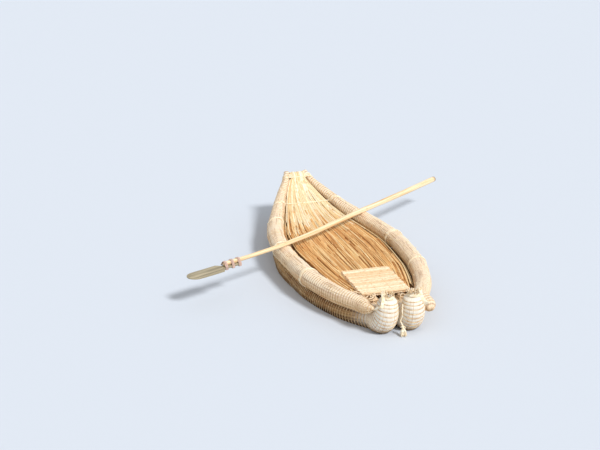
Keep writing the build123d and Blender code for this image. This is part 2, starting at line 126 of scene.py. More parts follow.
BOW_ARC = ((BOW_REACH - FLAT_FORE) ** 2 + BOW_RISE**2) / (2 * BOW_RISE)
STERN_ARC = ((STERN_REACH - FLAT_AFT) ** 2 + STERN_RISE**2) / (2 * STERN_RISE)
HORN_START_ANGLE = asin((STERN_REACH - FLAT_AFT) / STERN_ARC)
HORN_ARC_LENGTH = HORN_BEND * (HORN_END_ANGLE - HORN_START_ANGLE)
HORN_LENGTH = HORN_ARC_LENGTH + HORN_UPRIGHT
HORN_TOP = -STERN_REACH - HORN_LENGTH
HULL_PITCH = (BOW_REACH - TIP_LENGTH + STERN_REACH) / HULL_BAYS
TIE_WAISTS = [-STERN_REACH + HULL_PITCH * bay for bay in TIE_BAYS]
HORN_X = HORN_RADIUS + HORN_SPREAD


def tapered(share, column):
    """Value of a taper column at a share of the reach, on a smooth curve."""
    xs = [row[0] for row in TAPER]
    ys = [row[column] for row in TAPER]
    share = min(max(share, xs[0]), xs[-1])
    steps = [(y1 - y0) / (x1 - x0) for x0, x1, y0, y1 in zip(xs, xs[1:], ys, ys[1:])]
    inner = [2 * p * q / (p + q) if p * q > 0 else 0 for p, q in zip(steps, steps[1:])]
    slopes = [steps[0]] + inner + [steps[-1]]
    i = max(k for k in range(len(steps)) if xs[k] <= share)
    width = xs[i + 1] - xs[i]
    t = (share - xs[i]) / width
    rise = ys[i] * (1 + 2 * t) * (1 - t) ** 2 + ys[i + 1] * t**2 * (3 - 2 * t)
    return rise + width * (slopes[i] * t * (1 - t) ** 2 - slopes[i + 1] * t**2 * (1 - t))


HULL_END_WIDTH = HALF_WIDTH * tapered(-1, 1)


def smooth(t):
    """Eases t from 0 to 1, held at both ends."""
    t = min(max(t, 0.0), 1.0)
    return t * t * (3 - 2 * t)


def hull_share(s):
    """Share of the reach at s along the spine."""
    return s / (BOW_REACH if s > 0 else STERN_REACH)


def horn_blend(s):
    """Share of the change from hull to horn that is done at s, slow at first."""
    return min(max((-STERN_REACH - s) / HORN_LENGTH, 0), 1) ** 2


def half_apart(s):
    """Distance of a large bundle's centre from the middle. The horns lean a little apart."""
    turned = horn_blend(s)
    if s < HORN_TOP + HORN_SHOULDER:
        return HORN_RADIUS + (HULL_END_WIDTH - HORN_RADIUS) * (1 - turned) + HORN_SPREAD * turned
    return sizes(s)[0] + HORN_SPREAD * turned


def sizes(s):
    """Half width and half height of a large bundle, and radius of its roll, at s along the spine."""
    share = hull_share(s)
    width, height, roll = (
        size * tapered(share, column)
        for size, column in ((HALF_WIDTH, 1), (HALF_HEIGHT, 2), (ROLL_RADIUS, 3))
    )
    if s < -STERN_REACH:
        width += (HORN_RADIUS - width) * horn_blend(s)
        height += (HORN_RADIUS - height) * horn_blend(s)
    below_top = s - HORN_TOP
    if below_top < HORN_SHOULDER:
        t = 1 - max(below_top, 0) / HORN_SHOULDER
        foot = HORN_FOOT_RADIUS / HORN_RADIUS
        width *= foot + (1 - foot) * sqrt(1 - t * t)
        height *= foot + (1 - foot) * sqrt(1 - t * t)
        if below_top < 0:
            width = height = width + (NECK_RADIUS - width) * smooth(-below_top / NECK_RISE)
    return width, height, roll


def spine(s):
    """Y and Z of the spine at s, and its slope. Past the stern reach, s is length along the horn."""
    if s > -STERN_REACH:
        start, arc, sign = (FLAT_FORE, BOW_ARC, 1) if s > 0 else (FLAT_AFT, STERN_ARC, -1)
        past = max(abs(s) - start, 0)
        return s + SHIFT_Y, HALF_HEIGHT + arc - sqrt(arc**2 - past**2), sign * asin(past / arc)
    past = -STERN_REACH - s
    angle = HORN_START_ANGLE + min(past, HORN_ARC_LENGTH) / HORN_BEND
    upright = max(past - HORN_ARC_LENGTH, 0)
    y = -STERN_REACH - HORN_BEND * (sin(angle) - sin(HORN_START_ANGLE)) - upright * cos(angle)
    z = HALF_HEIGHT + STERN_RISE + HORN_BEND * (cos(HORN_START_ANGLE) - cos(angle))
    return y + SHIFT_Y, z + upright * sin(angle), -angle


def in_section(s, x, n):
    """Point in the section at s, x to starboard and n up along the section."""
    y, z, slope = spine(s)
    return Vector((x, y - n * sin(slope), z + n * cos(slope)))


def bundle_point(side, s, angle, swell=0.0):
    """Point on a large bundle, swell metres proud of its ellipse, and pressed flat on its twin."""
    width, height, _ = sizes(s)
    out = max(half_apart(s) + (width + swell) * cos(angle), MIDDLE_GAP)
    return in_section(s, side * out, (height + swell) * sin(angle))


def roll_centre(s):
    """Centre of the starboard roll in the section plane at s."""
    width, height, roll = sizes(s)
    nx, ny = cos(SEAT_ANGLE) / width, sin(SEAT_ANGLE) / height
    size = hypot(nx, ny)
    return width + width * cos(SEAT_ANGLE) + nx / size * roll, height * sin(SEAT_ANGLE) + ny / size * roll


def beside_horn(y, z, radius):
    """How far out a roll lies where it rests on the outside of the horn's bend."""
    centre_y = SHIFT_Y - STERN_REACH + HORN_BEND * sin(HORN_START_ANGLE)
    centre_z = HALF_HEIGHT + STERN_RISE + HORN_BEND * cos(HORN_START_ANGLE)
    back, down = centre_y - y, centre_z - z
    angle = atan2(back, down)
    s = -STERN_REACH - HORN_BEND * (angle - HORN_START_ANGLE)
    reach = sizes(s)[0] + radius
    off = min(abs(hypot(back, down) - HORN_BEND), reach)
    return half_apart(s) + sqrt(reach**2 - off**2)


class Line:
    """A line of points with a radius at each, read by the distance along it."""

    def __init__(self, points, radii, up=Vector((0, 0, 1))):
        self.points = [Vector(p) for p in points]
        self.radii = list(radii)
        self.up = up
        self.at = [0.0]
        for a, b in zip(self.points, self.points[1:]):
            self.at.append(self.at[-1] + (b - a).length)
        self.length = self.at[-1]

    def locate(self, distance):
        """Index of the stretch that holds a distance, and the share of the way along it."""
        distance = min(max(distance, 0.0), self.length)
        low, high = 0, len(self.at) - 1
        while high - low > 1:
            middle = (low + high) // 2
            low, high = (middle, high) if self.at[middle] <= distance else (low, middle)
        return low, (distance - self.at[low]) / max(self.at[high] - self.at[low], 1e-9)

    def centre(self, distance):
        """Point of the line at a distance."""
        i, t = self.locate(distance)
        return self.points[i].lerp(self.points[i + 1], t)

    def radius(self, distance):
        """Radius at a distance."""
        i, t = self.locate(distance)
        return self.radii[i] + (self.radii[i + 1] - self.radii[i]) * t

    def axes(self, distance, reach=0.012):
        """Sideways, up and forward directions at a distance."""
        ahead, behind = self.centre(distance + reach), self.centre(distance - reach)
        forward = (ahead - behind).normalized()
        sideways = forward.cross(self.up).normalized()
        return sideways, sideways.cross(forward), forward

    def point(self, distance, angle, swell=0.0):
        """Point on the skin round the line."""
        sideways, up, _ = self.axes(distance)
        reach = self.radius(distance) + swell
        return self.centre(distance) + sideways * (reach * cos(angle)) + up * (reach * sin(angle))


def relaxed(points, times):
    """Points of a line with its kinks eased out, and both ends kept."""
    for _ in range(times):
        inner = [(a + b * 2 + c) / 4 for a, b, c in zip(points, points[1:], points[2:])]
        points = [points[0], *inner, points[-1]]
    return points


def smoothed(points, parts):
    """Points of a smooth curve through the given ones."""
    ends = [points[0] * 2 - points[1], *points, points[-1] * 2 - points[-2]]
    curve = []
    for a, b, c, d in zip(ends, ends[1:], ends[2:], ends[3:]):
        for i in range(parts):
            t = i / parts
            squared = (a * 2 - b * 5 + c * 4 - d) * t**2
            cubed = (b * 3 - a - c * 3 + d) * t**3
            curve.append((b * 2 + (c - a) * t + squared + cubed) / 2)
    return [*curve, points[-1]]


def roll_line(side):
    """Centre line of a roll, from its after tip forward to the bow."""
    first_y, first_z, slope = spine(-STERN_REACH)
    first_x, first_n = roll_centre(-STERN_REACH)
    start = Vector((first_x, first_y - first_n * sin(slope), first_z + first_n * cos(slope)))
    tip, drop = TAIL_TIP_RADIUS[side], TAIL_DROP[side]
    first = sizes(-STERN_REACH)[2]
    end_x = beside_horn(start.y - TAIL_LENGTH, start.z - drop, tip)
    points, radii = [], []
    tail_steps, hull_step, tail_fullness = 12, 0.02, 1.6
    for i in range(tail_steps, 0, -1):
        t = i / tail_steps
        radius = first + (tip - first) * t**tail_fullness
        y, z = start.y - TAIL_LENGTH * t, start.z - drop * t**2
        x = max(start.x + (end_x - start.x) * t, beside_horn(y, z, radius))
        x += TAIL_CLEARANCE - TAIL_DRAWN_IN * t
        points.append(Vector((side * x, y, z)))
        radii.append(radius)
    s = -STERN_REACH + hull_step
    while s < BOW_REACH:
        x, n = roll_centre(s)
        points.append(in_section(s, side * x, n))
        radii.append(sizes(s)[2])
        s += hull_step
    x, n = roll_centre(BOW_REACH)
    points.append(in_section(BOW_REACH, side * x, n))
    radii.append(sizes(BOW_REACH)[2])
    return Line(relaxed(points, 4), radii)


ROLLS = {side: roll_line(side) for side in SIDE_NAMES}


def roll_distance(line, y):
    """Distance along a roll at about a given Y."""
    low, high = 0, len(line.points) - 1
    while high - low > 1:
        middle = (low + high) // 2
        low, high = (middle, high) if line.points[middle].y <= y else (low, middle)
    return line.at[low]


def floor_half_width(s):
    """Half width of the floor at s, which leaves a gutter beside each roll."""
    roll = sizes(s)[2]
    return roll_centre(s)[0] - roll - FLOOR_GUTTER * (roll / ROLL_RADIUS) ** 2


def floor_height(s):
    """Height of the floor's upper face over the spine at s."""
    return sizes(s)[1] + FLOOR_THICKNESS


# Colours and node helpers


def linear(text):
    """Linear colour of an sRGB hex value such as C8A070."""
    channels = [int(text[i:i + 2], 16) / 255 for i in (0, 2, 4)]
    return tuple(c / 12.92 if c <= 0.04045 else ((c + 0.055) / 1.055) ** 2.4 for c in channels)


def colour(shade):
    """A colour setting or an sRGB hex value with an alpha of 1, for a colour socket."""
    return (*(linear(shade) if isinstance(shade, str) else shade), 1.0)


def node(tree, kind, links=None, values=None, **settings):
    """Adds a node, sets its properties and input values and links its inputs."""
    made = tree.nodes.new(kind)
    for name, value in settings.items():
        setattr(made, name, value)
    for name, value in (values or {}).items():
        made.inputs[name].default_value = value
    for name, source in (links or {}).items():
        tree.links.new(source, made.inputs[name])
    return made


def ramp(tree, source, stops, interpolation="LINEAR"):
    """Colour ramp over a source, with (position, colour) stops."""
    made = node(tree, "ShaderNodeValToRGB", {"Fac": source})
    made.color_ramp.interpolation = interpolation
    elements = made.color_ramp.elements
    while len(elements) < len(stops):
        elements.new(0.5)
    for element, (position, shade) in zip(elements, stops):
        element.position = position
        element.color = colour(shade)
    return made.outputs["Color"]


def levels(tree, source, low, high, to_low=0.0, to_high=1.0):
    """Source stretched from low..high to to_low..to_high and held there."""
    made = node(
        tree, "ShaderNodeMapRange", {"Value": source},
        {"From Min": low, "From Max": high, "To Min": to_low, "To Max": to_high},
    )
    return made.outputs["Result"]


def blend(tree, share, a, b, mode="MIX"):
    """Colour a turned towards b by a share, which may be a number or a socket."""
    made = node(tree, "ShaderNodeMix", data_type="RGBA", blend_type=mode)
    for index, value in ((0, share), (6, a), (7, b)):
        if isinstance(value, bpy.types.NodeSocket):
            tree.links.new(value, made.inputs[index])
        else:
            made.inputs[index].default_value = value
    return made.outputs[2]


def scaled(tree, source, width, length, depth=None):
    """Coordinates divided by the real size, in metres, of one repeat of a pattern."""
    scale = (1 / width, 1 / length, 1 / (depth or width))
    return node(tree, "ShaderNodeMapping", {"Vector": source}, {"Scale": scale}).outputs["Vector"]


def speckle(tree, source, detail=3.0, roughness=0.6, distortion=0.0):
    """Noise at one repeat a unit."""
    made = node(
        tree, "ShaderNodeTexNoise", {"Vector": source},
        {"Scale": 1.0, "Detail": detail, "Roughness": roughness, "Distortion": distortion},
    )
    return made.outputs["Fac"]


def attribute(tree, name):
    """A value stored on the piece's points."""
    return node(tree, "ShaderNodeAttribute", attribute_name=name).outputs["Fac"]


def skin_place(tree):
    """Place on the piece's skin, in metres round it and along it."""
    return node(tree, "ShaderNodeUVMap", uv_map="UVMap").outputs["UV"]


def place_in_boat(tree):
    """Place in the boat, in metres."""
    return node(tree, "ShaderNodeTexCoord").outputs["Object"]


def arithmetic(tree, operation, a, b):
    """One socket worked out from two."""
    return node(tree, "ShaderNodeMath", {0: a, 1: b}, operation=operation).outputs["Value"]


def new_material(name, rough):
    """An empty material with a Principled shader."""
    made = bpy.data.materials.new(name)
    made.use_nodes = True
    tree = made.node_tree
    tree.nodes.clear()
    shader = node(tree, "ShaderNodeBsdfPrincipled", values={"Roughness": rough, "IOR": 1.45})
    shader.inputs["Specular IOR Level"].default_value = 0.25
    output = node(tree, "ShaderNodeOutputMaterial", {"Surface": shader.outputs["BSDF"]})
    output.target = "ALL"
    return made, tree, shader


def add_bump(tree, shader, height, distance, strength=1.0, below=None):
    """Bump of a real height, in metres, over an earlier one if given."""
    links = {"Height": height}
    if below is not None:
        links["Normal"] = below
    made = node(tree, "ShaderNodeBump", links, {"Strength": strength, "Distance": distance})
    tree.links.new(made.outputs["Normal"], shader.inputs["Normal"])
    return made.outputs["Normal"]


REED_WIDTH = 0.011       # a dried lake reed is 8 to 15 mm across
REED_RUN = 0.45          # how far one stem shows before it dives into the bundle


def bound_reed(name, stops, sunlit_colour, groove, sunny_groove, damp_and_shade, grey, grey_share):
    """Dry reed stems side by side: dull, fibrous, each its own tone, with painted shade in the cord's
    grooves, painted sunlight where the sun value is high, and a foot darkened by damp and painted shade.
    """
    made, tree, shader = new_material(name, 0.82)
    uv = skin_place(tree)
    obj = place_in_boat(tree)
    stems = node(
        tree, "ShaderNodeTexVoronoi", {"Vector": scaled(tree, uv, REED_WIDTH, REED_RUN)},
        {"Scale": 1.0, "Randomness": 0.9}, voronoi_dimensions="2D",
    )
    tone = node(tree, "ShaderNodeSeparateColor", {"Color": stems.outputs["Color"]}).outputs["Red"]
    base = ramp(tree, tone, stops)
    fibre = speckle(tree, scaled(tree, uv, 0.004, 0.09), detail=4.0)
    base = blend(tree, 0.55, base, ramp(tree, fibre, ((0.3, groove), (0.55, stops[-1][1]))), "SOFT_LIGHT")
    flecks = speckle(tree, scaled(tree, uv, 0.018, 0.035), roughness=0.7)
    base = blend(tree, levels(tree, flecks, 0.56, 0.70, 0.0, grey_share), base, colour(grey))
    patches = speckle(tree, scaled(tree, obj, 0.16, 0.24))
    base = blend(tree, levels(tree, patches, 0.45, 0.72, 0.0, 0.5), base, colour(groove), "SOFT_LIGHT")
    # Painted sunlight: paler where the sun value is high, on the horns and the rolls' upper sides
    painted_sunlight = arithmetic(
        tree, "MULTIPLY", attribute(tree, "sun"), levels(tree, flecks, 0.35, 0.6, 1.0, 0.8)
    )
    base = blend(tree, painted_sunlight, base, colour(sunlit_colour))
    streaks = speckle(tree, scaled(tree, uv, 0.014, 0.30), detail=2.0, roughness=0.5)
    # Colour of dark stems and of the painted shade in the cord's grooves, in a shaded and a sunlit copy
    dark_stem_and_groove_shade = blend(tree, attribute(tree, "sun"), colour(groove), colour(sunny_groove))
    base = blend(tree, levels(tree, streaks, 0.56, 0.66, 0.0, 0.5), base, dark_stem_and_groove_shade)
    # Painted shade in the cord's grooves
    base = blend(tree, attribute(tree, "groove"), base, dark_stem_and_groove_shade)
    # Damp and painted shade: darker along the waterline
    base = blend(tree, attribute(tree, "damp_and_shade"), base, colour(damp_and_shade), "MULTIPLY")
    tree.links.new(base, shader.inputs["Base Color"])
    flatter = levels(tree, attribute(tree, "sun"), 0.0, 1.0, 1.0, 0.15)
    round_stems = levels(tree, stems.outputs["Distance"], 0.0, 0.7, 1.0, 0.0)
    rounded = arithmetic(tree, "MULTIPLY", round_stems, flatter)
    first = add_bump(tree, shader, rounded, 0.0016, 0.8)
    add_bump(tree, shader, fibre, 0.0008, 0.7, first)
    return made


def loose_reed(name, stops, dark, across=0.012, along=0.30, fibre=(0.002, 0.05)):
    """Single dry stems that lie along the boat, each piece of stem its own tone."""
    made, tree, shader = new_material(name, 0.75)
    obj = place_in_boat(tree)
    tone = attribute(tree, "tone")
    base = ramp(tree, tone, stops)
    streak = speckle(tree, scaled(tree, obj, across, along))
    base = blend(tree, levels(tree, streak, 0.48, 0.72, 0.0, 0.55), base, colour(dark))
    fine = speckle(tree, scaled(tree, obj, *fibre))
    base = blend(tree, 0.35, base, ramp(tree, fine, ((0.3, dark), (0.6, stops[-1][1]))), "SOFT_LIGHT")
    tree.links.new(base, shader.inputs["Base Color"])
    add_bump(tree, shader, fine, 0.0006, 0.7)
    return made


def twisted_cord(name, pale, dark, rough=0.85):
    """Twisted grass or fibre cord: dull, hairy, darker between its strands."""
    made, tree, shader = new_material(name, rough)
    obj = place_in_boat(tree)
    mottled = speckle(tree, scaled(tree, obj, 0.020, 0.020))
    hairs = speckle(tree, scaled(tree, obj, 0.0020, 0.0035), roughness=0.7)
    base = ramp(tree, mottled, ((0.35, dark), (0.62, pale)))
    base = blend(tree, 0.5, base, ramp(tree, hairs, ((0.3, dark), (0.6, pale))), "SOFT_LIGHT")
    tree.links.new(base, shader.inputs["Base Color"])
    add_bump(tree, shader, hairs, 0.0006, 0.8)
    return made


def hollow_ends(name, stops, dark):
    """Cut reed ends and the painted shade of hollow ends: pale rims, spongy pith speckle, and painted shade
    wherever a piece stores a groove value.
    """
    made, tree, shader = new_material(name, 0.85)
    obj = place_in_boat(tree)
    base = ramp(tree, attribute(tree, "tone"), stops)
    pith_and_hollow_shade = speckle(tree, scaled(tree, obj, 0.003, 0.003), roughness=0.7)
    base = blend(tree, levels(tree, pith_and_hollow_shade, 0.45, 0.7, 0.0, 0.5), base, colour(dark))
    # Painted shade between stems, where a piece stores a groove value
    base = blend(tree, attribute(tree, "groove"), base, colour(dark))
    tree.links.new(base, shader.inputs["Base Color"])
    add_bump(tree, shader, pith_and_hollow_shade, 0.0008, 0.7)
    return made


def peeled_pole(name, pale, warm, dark, dark_end):
    """Peeled softwood pole, worn smooth by hands: long fine grain, knots and a darker upper end."""
    made, tree, shader = new_material(name, 0.55)
    uv = skin_place(tree)
    grain = speckle(tree, scaled(tree, uv, 0.012, 0.55), detail=5.0, roughness=0.65, distortion=0.4)
    base = ramp(tree, grain, ((0.32, dark), (0.50, warm), (0.68, pale)))
    pores = speckle(tree, scaled(tree, uv, 0.0025, 0.06))
    base = blend(tree, 0.4, base, ramp(tree, pores, ((0.3, dark), (0.6, pale))), "SOFT_LIGHT")
    base = blend(tree, attribute(tree, "groove"), base, colour(dark))
    # Darker towards the upper end
    base = blend(tree, attribute(tree, "end_darkening"), base, colour(dark_end))
    tree.links.new(base, shader.inputs["Base Color"])
    add_bump(tree, shader, pores, 0.0005, 0.6)
    return made


def wet_board(name, pale, grey, dark):
    """Thin split board, weathered grey-green by lake water, with open grain."""
    made, tree, shader = new_material(name, 0.5)
    uv = skin_place(tree)
    grain = speckle(tree, scaled(tree, uv, 0.009, 0.35), detail=5.0, roughness=0.65, distortion=0.3)
    base = ramp(tree, grain, ((0.30, dark), (0.48, grey), (0.68, pale)))
    tree.links.new(base, shader.inputs["Base Color"])
    add_bump(tree, shader, grain, 0.0008, 0.7)
    return made


def worn_cloth(name, pale, dark):
    """Torn strip of plain cotton wound tight: thread weave of about 1 mm, frayed and stained."""
    made, tree, shader = new_material(name, 0.9)
    uv = skin_place(tree)
    stains = speckle(tree, scaled(tree, uv, 0.03, 0.03))
    base = ramp(tree, stains, ((0.35, dark), (0.65, pale)))
    weave = node(
        tree, "ShaderNodeTexChecker", {"Vector": scaled(tree, uv, 0.002, 0.002)}, {"Scale": 1.0}
    ).outputs["Fac"]
    tree.links.new(base, shader.inputs["Base Color"])
    shader.inputs["Sheen Weight"].default_value = 0.3
    add_bump(tree, shader, weave, 0.0004, 0.6)
    return made


def pale_floor(name, pale):
    """Plain matt studio floor."""
    made, _, shader = new_material(name, 0.9)
    shader.inputs["Base Color"].default_value = colour(pale)
    return made


def recipes(colours):
    """Each material's maker and what it is given, with the lightest colours from the settings.

    After a bound reed's own colours come those of its painted sunlight, its grooves' painted shade and dark
    stems, its sunny grooves, its damp and painted-shade foot and its flecks, and the flecks' share.
    """
    return {
        "dry_totora_hull": (
            bound_reed, ((0.0, "64503C"), (0.35, "957859"), (0.7, "B99A72"), (1.0, "D3B68C")),
            colours.sunlit_hull, "5E3F28", "B8824E", "7A685A", "857A72", 0.5,
        ),
        "bleached_totora_roll": (
            bound_reed, ((0.0, "C4946A"), (0.3, "E6BE94"), (0.7, "F5D9B4"), (1.0, "FCEACF")),
            colours.sunlit_rolls, "7C4E2E", "96643C", "8A7B6E", "C2A696", 0.40,
        ),
        "orange_floor_reed": (
            loose_reed, ((0.0, "BE8A56"), (0.4, "E2B27A"), (0.75, "F1CB96"), (1.0, "F9E0B6")), "94643C",
        ),
        "bow_lining_reed": (
            loose_reed, ((0.0, "DDBF90"), (0.4, "F0DAB2"), (0.8, "FAEACB"), (1.0, "FDF4E2")), "BE9866",
        ),
        "pale_mat_reed": (
            loose_reed, ((0.0, "E2C29C"), (0.5, "EED6B6"), (1.0, "F8E8D0")), "B27E52",
            0.022, 0.009, (0.03, 0.003),
        ),
        # Painted shade of hollow stem ends and of the pole's hollow upper end
        "brown_pith": (hollow_ends, ((0.0, "4A3020"), (1.0, "7A5636")), "22140C"),
        "cut_reed_ends": (hollow_ends, ((0.0, "D8B688"), (0.5, "EFD8B2"), (1.0, "FCF2DE")), "8A6440"),
        "grass_cord": (twisted_cord, colours.winding_cord, "B48E64"),
        "bleached_cord": (twisted_cord, colours.ties, "E2C6A0"),
        "peeled_pole_wood": (peeled_pole, colours.pole, "F2D6B0", "CDA578", "5A4232"),
        "weathered_board": (wet_board, colours.board, "A0947A", "6C6450"),
        "cotton_rag": (worn_cloth, colours.rag, "B08A78"),
        "studio_floor": (pale_floor, colours.studio_floor),
    }


MATERIALS = {}


def material(name):
    """The finished material of that name, made once."""
    if name not in MATERIALS:
        make, *values = recipes(bpy.context.scene.reed_colours)[name]
        MATERIALS[name] = make(name, *values)
    return MATERIALS[name]


# Modelling helpers

SHARP_EDGE = radians(50)       # edges that turn more than this stay sharp


def deselect():
    """Clears the selection, so that an operator acts only on what follows."""
    if bpy.context.object and bpy.context.object.mode != "OBJECT":
        bpy.ops.object.mode_set(mode="OBJECT")
    bpy.ops.object.select_all(action="DESELECT")


def choose(piece):
    """Makes one piece the only selected and active one."""
    deselect()
    piece.select_set(True)
    bpy.context.view_layer.objects.active = piece


def sheet_grid(name, across, along):
    """A grid whose U runs across and V along, both from 0 to 1."""
    deselect()
    bpy.ops.mesh.primitive_grid_add(x_subdivisions=across, y_subdivisions=along, size=2, calc_uvs=True)
    piece = bpy.context.object
    piece.name = piece.data.name = name
    return piece


def shape_grid(piece, place, uv_size=(1.0, 1.0)):
    """Moves each point of a grid to place(u, v) and gives the UV map its real size in metres."""
    mesh = piece.data
    for vertex in mesh.vertices:
        vertex.co = place((vertex.co.x + 1) / 2, (vertex.co.y + 1) / 2)
    for entry in mesh.uv_layers[0].data:
        entry.uv = (entry.uv[0] * uv_size[0], entry.uv[1] * uv_size[1])
    mesh.uv_layers[0].name = "UVMap"


def store(piece, name, values):
    """Keeps one value a point, for the material."""
    kept = piece.data.attributes.new(name, "FLOAT", "POINT")
    kept.data.foreach_set("value", list(values))


def close_tube(piece, cap=True):
    """Joins a rolled grid's seam, fills its ends and turns its faces outwards."""
    choose(piece)
    bpy.ops.object.mode_set(mode="EDIT")
    bpy.ops.mesh.select_all(action="SELECT")
    bpy.ops.mesh.remove_doubles(threshold=0.00005)
    if cap:
        bpy.ops.mesh.fill_holes(sides=0)
    bpy.ops.mesh.select_all(action="SELECT")
    bpy.ops.mesh.normals_make_consistent(inside=False)
    bpy.ops.object.mode_set(mode="OBJECT")
    bpy.ops.object.shade_smooth_by_angle(angle=SHARP_EDGE)


def tubes(name, lines, thickness, sides=6):
    """Round stems or cords along several lines of points, as one mesh. Points may carry a radius."""
    curve = bpy.data.curves.new(name, "CURVE")
    curve.dimensions = "3D"
    curve.bevel_depth = thickness / 2
    curve.bevel_resolution = (sides - 4) // 2
    curve.use_fill_caps = True
    for line in lines:
        spline = curve.splines.new("POLY")
        spline.points.add(len(line) - 1)
        for point, entry in zip(spline.points, line):
            co, radius = entry if isinstance(entry, tuple) else (entry, 1.0)
            point.co = (*co, 1.0)
            point.radius = radius
    piece = bpy.data.objects.new(name, curve)
    bpy.context.collection.objects.link(piece)
    choose(piece)
    bpy.ops.object.convert(target="MESH")
    piece = bpy.context.object
    bpy.ops.object.shade_smooth_by_angle(angle=SHARP_EDGE)
    return piece


def tone_by_part(piece, seed):
    """Gives each loose stem of a piece its own tone."""
    mesh = piece.data
    parent = list(range(len(mesh.vertices)))

    def root(i):
        while parent[i] != i:
            parent[i] = parent[parent[i]]
            i = parent[i]
        return i

    for edge in mesh.edges:
        a, b = root(edge.vertices[0]), root(edge.vertices[1])
        if a != b:
            parent[b] = a
    chosen = random.Random(seed)
    tones = {}
    values = []
    for i in range(len(parent)):
        key = root(i)
        if key not in tones:
            tones[key] = chosen.random()
        values.append(tones[key])
    store(piece, "tone", values)


def strand_lines(path, thickness, strands=3, lay=0.03, step=0.004):
    """Centre lines of the strands of a laid rope that follows a path."""
    line = Line(path, [0.0] * len(path))
    count = max(int(line.length / step), 8)
    lines = [[] for _ in range(strands)]
    normal = None
    for i in range(count + 1):
        d = line.length * i / count
        centre = line.centre(d)
        forward = (line.centre(d + step) - line.centre(d - step)).normalized()
        if normal is None:
            normal = forward.orthogonal().normalized()
        normal = (normal - forward * normal.dot(forward)).normalized()
        other = forward.cross(normal)
        for k in range(strands):
            turn = 2 * pi * (d / lay + k / strands)
            lines[k].append(centre + (normal * cos(turn) + other * sin(turn)) * thickness * 0.25)
    return lines


def rope(name, paths, thickness, strands=3, lay=0.03, step=0.005, sides=6):
    """Laid rope along each path."""
    lines = [line for path in paths for line in strand_lines(path, thickness, strands, lay, step)]
    return tubes(name, lines, thickness * 0.56, sides)


KNOT_POINTS = 39


def knot_path(centre, size, seed):
    """A short tangle of cord, as in a tied overhand knot."""
    chosen = random.Random(seed)
    turn = Matrix.Rotation(chosen.uniform(0, 2 * pi), 3, "Z")
    turn = turn @ Matrix.Rotation(chosen.uniform(-1, 1), 3, "X")
    path = []
    for i in range(KNOT_POINTS + 1):
        t = 2 * pi * i / KNOT_POINTS
        trefoil = Vector((sin(t) + 2 * sin(2 * t), cos(t) - 2 * cos(2 * t), -sin(3 * t))) * size / 5
        path.append(centre + turn @ trefoil)
    return path


def finish_piece(piece, finish, slot, *nodes):
    """Material, body and replaced solids of a finished piece. The slot is not used."""
    piece.data.materials.clear()
    piece.data.materials.append(material(finish))
    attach(piece, "root")
    if nodes:
        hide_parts(*nodes)
    return piece


def lumps(point, size, depth, seed=0.0):
    """Smooth unevenness of a real size and depth."""
    return depth * noise.noise(point / size + Vector((seed, seed * 1.7, -seed)))


def uneven(values, turns):
    """Value at a number of turns, drawn from the row of values and eased to zero in every groove."""
    return values[int(turns)] * sin(pi * turns) ** 2


DAMP_SHADE_FROM, DAMP_SHADE_BAND = -0.01, 0.07       # over the waterline, where the band of damp and painted shade starts and how high it is


def skin_values(piece, grooves, sun_at):
    """Stores how much painted sunlight, damp and painted shade, and painted groove shade each point of a
    reed skin gets.
    """
    waver_size, waver_depth = 0.12, 0.02
    sun, damp_and_shade = [], []
    for vertex in piece.data.vertices:
        height = vertex.co.z - WATERLINE + lumps(vertex.co, waver_size, waver_depth)
        sun.append(sun_at(vertex.co))
        # Damp and painted shade, strongest at the waterline
        damp_and_shade.append(1 - smooth((height - DAMP_SHADE_FROM) / DAMP_SHADE_BAND))
    store(piece, "sun", sun)
    store(piece, "damp_and_shade", damp_and_shade)
    store(piece, "groove", grooves)


# Settings


def paint(label, purpose, text):
    """A colour setting whose default is an sRGB hex value."""
    return FloatVectorProperty(
        name=label, description=purpose, subtype="COLOR", min=0, max=1, default=linear(text)
    )


class HullSettings(PropertyGroup):
    """Reed bundles and the cords wound round them."""

    winding_pitch: FloatProperty(
        name="Winding pitch", description="Distance between two turns of cord", default=0.024, unit="LENGTH"
    )
    cord: FloatProperty(
        name="Cord", description="Thickness of the winding cord", default=0.0055, unit="LENGTH"
    )
    groove: FloatProperty(
        name="Groove", description="How deep the cord bites into a bundle", default=0.007, unit="LENGTH"
    )
    unevenness: FloatProperty(
        name="Unevenness", description="Depth of the lumps in a bundle", default=0.005, unit="LENGTH"
    )


class FloorSettings(PropertyGroup):
    """Loose reeds, mat and cord inside the boat."""

    reeds: IntProperty(name="Floor reeds", description="Number of loose stems", default=340, min=10)
    reed: FloatProperty(
        name="Reed", description="Thickness of a loose stem", default=0.010, unit="LENGTH"
    )
    mat_strip: FloatProperty(
        name="Mat strip", description="Width of one stem of the mat", default=0.013, unit="LENGTH"
    )


class RopeSettings(PropertyGroup):
    """Ropes and knots."""

    tie: FloatProperty(name="Tie", description="Thickness of a tie", default=0.009, unit="LENGTH")
    bow_turn: FloatProperty(
        name="Bow rope", description="Thickness of the rope round the bow", default=0.010, unit="LENGTH"
    )


